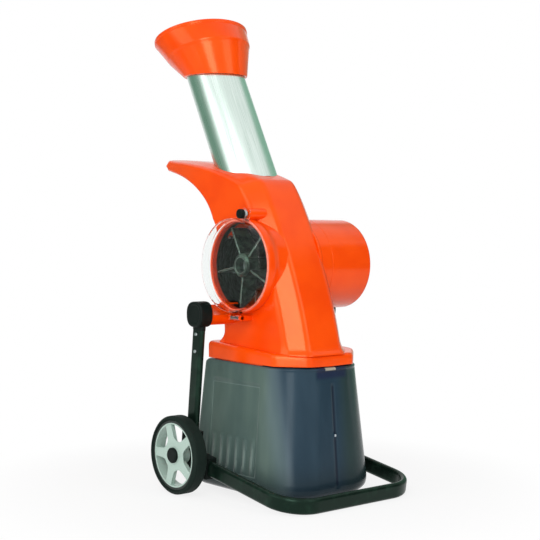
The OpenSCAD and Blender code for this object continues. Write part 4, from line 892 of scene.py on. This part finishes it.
def make_head():
    """Casing of the head in its two halves, each with what stands on it."""
    left_root, right_root, cover_room_r, cover_room_out, motor_room_out = -88, 60, 118, -172, 190
    ring_bore, ring_start, ring_gap = 95, 34, 0.4
    skin = carve(mesh_of("body", [body_skin()]), casing_openings())
    cover_room = rod(cover_room_r, cover_room_out, -DRUM_FACE, ROTOR)
    left = with_parts(half_of(skin, -1, "left"), window_drum(), knob_boss(),
                      neck("left_neck", -KNUCKLE_IN, left_root, cover_room), hinge_ears())
    piece("head_casing", left, ORANGE, "machine", "orange", "body_shell")

    motor_ring = turned(ring(ring_bore, MOTOR_R, ring_start, MOTOR_START - ring_gap), 0.6, ROTOR, sides=160)
    motor_room = rod(MOTOR_R + FIT, MOTOR_START, motor_room_out, ROTOR)
    right = with_parts(half_of(skin, 1, "right"), mesh_of("ring", [motor_ring]),
                       neck("right_neck", right_root, KNUCKLE_IN, motor_room))
    piece("motor_side_casing", right, ORANGE, "machine", "orange", "side_cover")


def make_motor():
    """Motor housing: a round tube with eased rims."""
    barrel = turned(ring(MOTOR_R - MOTOR_WALL, MOTOR_R, MOTOR_START, MOTOR_END), 0.8, ROTOR, sides=192)
    piece("motor_barrel", mesh_of("motor_barrel", [barrel]), ORANGE, "machine", "orange", "motor_housing")


# Chute and hopper

def make_chute():
    """Silver feed tube: a ring section revolved about the leaning axis."""
    tube = turned(ring(CHUTE_R - CHUTE_WALL, CHUTE_R, CHUTE_START, CHUTE_END), 0.5, CHUTE, CHUTE_WAY, 192)
    piece("feed_tube", mesh_of("feed_tube", [tube]), TUBE, "machine", "aluminium", "chute_tube")


def oval(at, half_w, half_d, tilt, a):
    """Oval ring around (y, z), tilted to the back: x by the cosine, y and z by the sine of the angle."""
    d = half_d * np.sin(a)
    return np.c_[half_w * np.cos(a) + HEAD_X, at[0] + d * math.cos(tilt), at[1] - d * math.sin(tilt)]


def make_hopper():
    """Funnel of oval rings: up the outside, over the lip, and down the inside to the seat on the tube."""
    tilt, sides = turn(15), 160
    rise = np.array([math.sin(tilt), math.cos(tilt)])
    crease, mouth, foot_z = np.array([168.0, 1050.0]), np.array([201.0, 1096.0]), 988.0
    seat_r, stop_r, stop_gap = CHUTE_R + FIT, 62, 0.4

    def on_axis(s):
        """The (y, z) of a place on the axis of the feed tube."""
        return (CHUTE + s * CHUTE_WAY)[1:]

    foot, stop = on_axis((foot_z - CHUTE[2]) / math.cos(CHUTE_LEAN)), on_axis(CHUTE_END + stop_gap)
    rings = [(foot, 76.5, 82.5, 0), (crease - 5 * rise, 101.5, 104.5, tilt), (crease, 104, 107, tilt),
             (mouth - 9 * rise, 118.6, 112.6, tilt), (mouth - 8 * rise, 120, 113.9, tilt),
             (mouth, 120, 113.9, tilt), (mouth, 114.5, 108.5, tilt), (crease + 3 * rise, 100.5, 103.5, tilt),
             (stop, stop_r, stop_r, CHUTE_LEAN), (stop, seat_r, seat_r, CHUTE_LEAN),
             (foot, seat_r, seat_r / math.cos(CHUTE_LEAN), 0)]
    a = np.arange(sides) * 2 * math.pi / sides
    corners = np.stack([oval(*each, a) for each in rings], 1)
    grid = eased(corners, [1.2, 3, 4, 0.5, 1, 2.2, 2.2, 12, 1.5, 0.5, 0.5])
    funnel = mesh_of("hopper_funnel", [surface(grid, True, True)])
    piece("hopper_funnel", funnel, ORANGE, "machine", "orange", "hopper")


# Plinth and box

def plan(step, faces=(0, 90), power=2):
    """Outline of the plinth with its four corners: points, outward directions, and ways to spread.

    On a corner of radius 1, the cosines of the angles to its faces, each to the power, add up to 1: two
    faces and a power of 2 are a quarter circle, and more faces with a high power are soft-edged flats."""
    half, small = PLINTH_W / 2, 0.001
    points, ways, spreads = [], [], []
    for sx, sy, r, start in ((1, 1, BACK_R, 0), (-1, 1, BACK_R, 90), (-1, -1, FRONT_R, 180),
                             (1, -1, FRONT_R, 270)):
        centre = np.array([sx * (half - r), PLINTH_BACK - r if sy > 0 else r - PLINTH_FRONT])
        a = np.radians(start + np.linspace(0, 90, max(8, int(r * 1.6 / step))))[:, None]
        b = np.radians(start + np.array(faces))
        near = np.clip(np.cos(a - b), 0, 1)
        reach = r * (near ** power).sum(1, keepdims=True) ** (-1 / power)
        way = near ** (power - 1) @ np.c_[np.cos(b), np.sin(b)]
        points.append(centre + reach * np.c_[np.cos(a), np.sin(a)])
        ways.append(way / np.linalg.norm(way, axis=1, keepdims=True))
        spreads.append(np.broadcast_to([sx, sy], way.shape))
    # directions ride along with the points, too small to add to the length of the line
    rows = np.concatenate([np.c_[at, way * small, spread * small]
                           for at, way, spread in zip(points, ways, spreads)])
    rows = closer(np.r_[rows, rows[:1]], step)[:-1]
    outward = rows[:, 2:4] / np.linalg.norm(rows[:, 2:4], axis=1, keepdims=True)
    return rows[:, :2], outward, rows[:, 4:] / small


def lift(x, y):
    """Rise of the lower edge of the plinth, by a share of the distance from the middle of its front."""
    share = 0.02
    return share * np.hypot(x, y + PLINTH_FRONT)


def make_plinth():
    """Orange plinth: the plan outline with a flat across each corner, lifted to a sloped top.

    It is hollow below and open at the back for the box, which hangs on two runners."""
    roof, rear_low, rear_high, past_back = 4, 290, 318, 30
    port_x, port_half, port_z = (-85, -20), 49, (296, 360)
    runner_in, runner_out, runner_low, runner_high = 7, 2, PLINTH_Z + 0.2, PLINTH_Z + 4
    at, out, _ = plan(3, (0, 45, 90), 40)
    slot, rear_y = PLINTH_W / 2 - PLINTH_WALL, PLINTH_BACK - BACK_R

    def low_edge(inset):
        """The outline drawn in, on the lower edge."""
        p = at - out * inset
        return np.c_[p, PLINTH_Z + lift(p[:, 0], p[:, 1])]

    def top_edge(inset, drop):
        """The outline drawn in, a drop under the sloped top."""
        p = at - out * inset
        return np.c_[p, plinth_top(p[:, 1]) - drop]

    def centre(drop):
        """The middle of the top for every point of the outline."""
        return np.broadcast_to([0, MIDDLE_Y, plinth_top(MIDDLE_Y) - drop], (len(at), 3))

    corners = np.stack([centre(roof), top_edge(PLINTH_WALL, roof), low_edge(PLINTH_WALL), low_edge(0),
                        top_edge(0, 0), centre(0)], 1)
    grid = eased(corners, [0, 1, 0.8, 1.2, 11, 0], 9, False)
    rear = block((-slot, rear_y, rear_low), (slot, PLINTH_BACK + past_back, rear_high))
    port = block(*((x, ROTOR[1] + y, z) for x, y, z in zip(port_x, (-port_half, port_half), port_z)))
    shell = carve(mesh_of("plinth", [surface(grid, True, False)]), [rear, port])
    runners = []
    for side, _ in SIDES:
        x0, x1 = sorted((side * (slot - runner_in), side * (slot + runner_out)))
        runners.append(block((x0, FRONT_R - PLINTH_FRONT, runner_low), (x1, rear_y, runner_high)))
    cover = with_parts(shell, mesh_of("runners", runners))
    piece("plinth_cover", cover, ORANGE, "machine", "orange", "plinth")


def box_relief(x, y, z, front):
    """Depth pressed into the box: a field with upright ribs on each side, a groove and a scoop in front."""
    field = window_of(y, *FIELD_Y, 3) * window_of(z, *FIELD_Z, 3)
    rib = np.abs((y - FIELD_Y[0]) / RIB_PITCH % 1 - 0.5) < 0.18
    ribs = rib * window_of(z, 58, 130, 6)
    groove = np.exp(-(x / 3.2) ** 2) * window_of(z, 30, 258, 4)
    scoop = window_of(x, -36, 36, 14) * window_of(z, 276, 300, 12)
    lug = window_of(x, -3, 3, 1.5) * window_of(z, 143, 149, 1.5)
    return (1 - front) * field * (2.2 - 1.9 * ribs) + front * (2.6 * groove + 2.4 * scoop - 2.6 * lug)


def box_profile():
    """Wall of the box as (growth, height): up the outside, over the rim and down the inside.

    Returns it with points at most a step apart on the outside, and which of them lie there."""
    step = 4.2
    outside = [(7.9, BOX_LOW), (16.2, 13.2), (21.4, 21), (24, 34), (3.8, 287), (3.2, 293), (0, 297),
               (-13.8, 299.3), (-13.8, 304.3), (-6.7, 304.3), (-6.7, 308.3)]
    inside = [(-17.8, 308.3), (-17.8, 295), (-2, 289), (0, 284), (20, 34), (17.4, 21), (5.5, BOX_FLOOR)]
    cuts = [3, 3, 4, 10, 3, 2, 2, 1, 0.5, 0.5, 0.8, 0.8, 2, 2, 4, 8, 4, 3]
    line = section(outside + inside, cuts, 4, False)
    top = int(np.argmax(line[:, 1]))
    line = np.concatenate([closer(line[:top + 1], step), line[top + 1:]])
    return line, np.arange(len(line)) < int(np.argmax(line[:, 1]))


def make_box():
    """Smoked collection box: the plan outline, spread by the profile of its wall, its relief pressed in.

    A fan from each end of the profile to a middle point closes the floor, below and above."""
    shift_back, rim_z = 3.5, 290
    at, out, spread = plan(2.4)
    line, outer = box_profile()
    grow, z = line[:, 0], line[:, 1]
    px, py = (at[:, k:k + 1] + np.where(grow > 0, spread[:, k:k + 1], out[:, k:k + 1]) * grow
              for k in (0, 1))
    py = py + shift_back * (1 - step_up(z, 288, 296))
    front = step_up(-out[:, 1:], 0.6, 0.95)
    flat_side = step_up(np.abs(out[:, :1]), 0.97, 0.995)
    press = box_relief(px, py, z, front) * outer * np.maximum(front, flat_side) * (z < rim_z)
    px, py = px - out[:, :1] * press, py - out[:, 1:] * press
    pz = z + lift(px, py) * step_up(z, 120, 284)
    points, faces = surface(np.stack([px, py, pz], -1), True, False)
    middles = [[0, MIDDLE_Y, height] for height in (BOX_LOW, BOX_FLOOR)]
    first = np.arange(len(at)) * len(line)
    for row, middle in ((first, len(points)), (first + len(line) - 1, len(points) + 1)):
        faces.append(np.stack([row, np.roll(row, -1), np.full(len(at), middle)], 1))
    box = mesh_of("chip_box", [(np.concatenate([points, middles]), faces)])
    piece("chip_box", box, SMOKE, "box", "smoke", "collection_box")


# Stand

def upright_tube(side, start, end, steps, extra):
    """Flat-sided tube on the line of an upright, between two distances from the axle."""
    path = AXLE + side * TUBE_X * X + np.linspace(start, end, steps)[:, None] * UPRIGHT_WAY
    return carried(stadium(TUBE_H + extra, TUBE_T + extra), path, np.broadcast_to(X, path.shape),
                   np.broadcast_to(UPRIGHT_ACROSS, path.shape))


def make_stand():
    """Base bar and uprights: the flat-sided tube carried along its bends."""
    a = np.radians(np.linspace(0, 90, 25))
    arm = np.c_[np.full(12, TUBE_X), np.linspace(ARM_L, BAR_BEND, 12)]
    bend = np.c_[TUBE_X - BAR_BEND + BAR_BEND * np.cos(a), BAR_BEND - BAR_BEND * np.sin(a)]
    half = np.concatenate([arm, bend[1:]])
    flat = np.concatenate([half, (half * [-1, 1])[::-1]])
    way = np.gradient(flat, axis=0)
    way = way / np.linalg.norm(way, axis=1, keepdims=True)
    tilt = about_x(ARM_ANGLE)
    side = np.c_[way[:, 1], -way[:, 0], np.zeros(len(way))] @ tilt.T
    path = np.c_[flat, np.zeros(len(flat))] @ tilt.T + np.array([0, -BAR_REACH, BAR_Z])
    bar = carried(stadium(TUBE_H, TUBE_T), path, side, np.broadcast_to(tilt @ Z, path.shape))
    piece("base_bar_tube", mesh_of("base_bar_tube", [bar]), ENAMEL, "machine", "black_metal", "base_bar")

    for s, word in SIDES:
        tube = mesh_of("upright", [upright_tube(s, UPRIGHT_FOOT, UPRIGHT_TOP, 8, 0)])
        piece(f"{word}_upright_tube", tube, ENAMEL, "machine", "black_metal", f"{word}_upright")


def make_knuckles():
    """End fittings: a disc with an eased rim and a shallow dished face, over a sleeve on the upright."""
    power, shoulder, dish, face_r, dish_r = 2.6, 1.0, 1.6, 23, 21
    sleeve_extra, relief_gap, relief_end = 1.2, 1, 199
    profile = [(0, KNUCKLE_IN), (KNUCKLE_R, KNUCKLE_IN), (KNUCKLE_R, KNUCKLE_OUT - shoulder),
               (face_r, KNUCKLE_OUT), (dish_r, KNUCKLE_OUT - dish), (0, KNUCKLE_OUT - dish)]

    def squarer(a, place):
        """A circle drawn squarer: the cosine and the sine, each to the power, add up to 1."""
        return (np.abs(np.cos(a)) ** power + np.abs(np.sin(a)) ** power) ** (-1 / power) + 0 * place

    for s, word in SIDES:
        disc = turned(profile, [0, 1.5, 4.5, 1, 1, 0], KNUCKLE, s * X, 128, 7, False, squarer)
        sleeve = upright_tube(s, UPRIGHT_TOP, SLEEVE_TOP, 6, sleeve_extra)
        if s < 0:
            made = mesh_of("knuckle", [disc, sleeve])
        else:
            relief = rod(MOTOR_R + relief_gap, MOTOR_START, relief_end, ROTOR)
            made = with_parts(carve(mesh_of("knuckle", [disc]), [relief]), mesh_of("sleeve", [sleeve]))
        piece(f"{word}_end_fitting", made, BLACK, "machine", "black_plastic", f"{word}_knuckle")


def make_wheels():
    """Tyres: a rounded section revolved about the axle. Over the spokes of each wheel lies a flat plate."""
    inner, outer, edge, rim, wall = 207.5, 246.5, 6.0, 79.8, 84.0
    crown = [(WHEEL_R, place) for place in np.linspace(inner + edge, outer - edge, 46)]
    tyre = [(rim, inner + edge), (rim + 2, inner), (wall, inner), *crown, (wall, outer), (rim + 2, outer),
            (rim, outer - edge)]
    tyre_cuts = [0.5, 1, 3, 3] + [0.1] * (len(crown) - 2) + [3, 3, 1, 0.5]
    middle, groove_at, groove_half, groove_share = (inner + outer) / 2, 12, 0.9, 0.012
    disc, arm, reach, pitch = 35.0, 10.3, 71.5, 2 * math.pi / 5
    hole, plate_back, plate_face = 9, 237.5, 240.4
    plate = ring(hole, disc, plate_back, plate_face)

    def star(a, place):
        """A disc and five arms: the fourth root of the sum of the fourth powers of their reaches."""
        off = np.abs((a + math.pi / 2 + pitch / 2) % pitch - pitch / 2)
        beside = arm / np.maximum(np.sin(off), 0.1)
        return np.minimum((disc ** 4 + beside ** 4) ** 0.25, reach) / disc + 0 * place

    def tread(a, place):
        """A fine groove near each shoulder, by a bell curve across the tread."""
        off = np.abs(np.abs(place) - middle)
        return 1 - groove_share * np.exp(-((off - groove_at) / groove_half) ** 2) + 0 * a

    for s, word in SIDES:
        made = mesh_of("tyre", [turned(mirrored(tyre, s), tyre_cuts, AXLE, X, 240, 3, True, tread)])
        piece(f"{word}_tread", made, TYRE, f"{word}_wheel", "tyre", f"{word}_tyre")
        made = mesh_of("plate", [turned(mirrored(plate, s), [0, 0.3, 0.9, 0], AXLE, X, 720, 5, True, star)])
        piece(f"{word}_spoke_plate", made, RIM, f"{word}_wheel", "rim")


# Window

def window_cup():
    """Shallow cup with a flange, revolved about the rotor."""
    inner, side, outer, flange, wall, top = 105, 108, 110, 3.5, 3, COVER_FACE + COVER_DEPTH
    cup = [(inner, COVER_FACE), (outer, COVER_FACE), (outer, COVER_FACE + flange),
           (side, COVER_FACE + flange), (side, top), (0, top), (0, top - wall), (inner, top - wall)]
    cuts = [0.5, 0.8, 0.8, 0.5, 7, 0, 0, 5]
    return mesh_of("window", [turned(mirrored(cup, -1), cuts, ROTOR, sides=192, steps=8)])


def knob_tab():
    """Flat tab under the thumb knob, turned about the rotor to its place, with a bore for the shank."""
    half, low, high, thick, bore_r, bore_end = 13, 106, 132, 4, 4.05, -110
    points, faces = block((-COVER_FACE - thick, -half, low), (-COVER_FACE, half, high), 1.5)
    tab = (points @ about_x(KNOB_LEAN).T + ROTOR, faces)
    return carve(mesh_of("tab", [tab]), [rod(bore_r, -THROUGH, bore_end, KNOB)])


def hinge_barrel():
    """Round barrel of the hinge, bored for its pin, and the web that joins it to the cup."""
    bore_r, bore_half, web_thick, web_high = 3.05, 30, 6.5, 16
    barrel = rod(HINGE_R, -HINGE_HALF, HINGE_HALF, HINGE, Y, 0.5, 64)
    barrel = carve(mesh_of("hinge", [barrel]), [rod(bore_r, -bore_half, bore_half, HINGE, Y)])
    web = block((-COVER_FACE - web_thick, HINGE[1] - HINGE_HALF, HINGE[2]),
                (-COVER_FACE, HINGE[1] + HINGE_HALF, HINGE[2] + web_high), 0.8)
    return barrel, mesh_of("web", [web])


def make_window():
    """Clear cover: its cup, the tab for the knob and the hinge."""
    window = with_parts(window_cup(), knob_tab(), *hinge_barrel())
    piece("window", window, CLEAR, "cover", "clear", "window_cover")


def make_knob():
    """Thumb knob: a dished head with grips on a round shank, and two washers under it."""
    under, face, dish, head_r, face_r, dish_r = 136.6, 146.6, 0.8, 11, 8.5, 7.5
    shank_r, shank_end, overlap = 4, -110.3, 0.2
    grips, grip_depth, grip_at, grip_half = 9, 0.07, 141.5, 4
    washer_bore, washer_r, washer_ends = 4.2, 9.5, ((-136.4, -132.9), (-132.5, -128.7))
    profile = [(0, -under), (head_r, -under), (head_r, -face), (face_r, -face), (dish_r, dish - face),
               (0, dish - face)]

    def grip(a, place):
        """Hollows between the grips, by the cube of the sine of the angle, on the middle of the rim."""
        gripped = np.abs(place + grip_at) < grip_half
        return 1 - grip_depth * np.abs(np.sin(a * grips)) ** 3 * gripped

    head = turned(profile, [0, 1, 2, 0.5, 0.5, 0], KNOB, X, 216, 7, False, grip)
    shank = rod(shank_r, -under - overlap, shank_end, KNOB, X, 0.5, 48)
    piece("thumb_knob", mesh_of("knob", [head, shank]), BLACK, "knob", "black_plastic", "cover_knob")
    washers = [turned(ring(washer_bore, washer_r, *ends), 0.7, KNOB, X, 96, 4) for ends in washer_ends]
    piece("knob_washers", mesh_of("washers", washers), ZINC, "knob", "steel")


bpy.context.scene.view_settings.view_transform = "Standard"
set_camera()
set_world()
hang_lamps()
lay_floor()
stand_panels()
paint_solids()
make_head()
make_motor()
make_chute()
make_hopper()
make_plinth()
make_box()
make_stand()
make_knuckles()
make_wheels()
make_window()
make_knob()
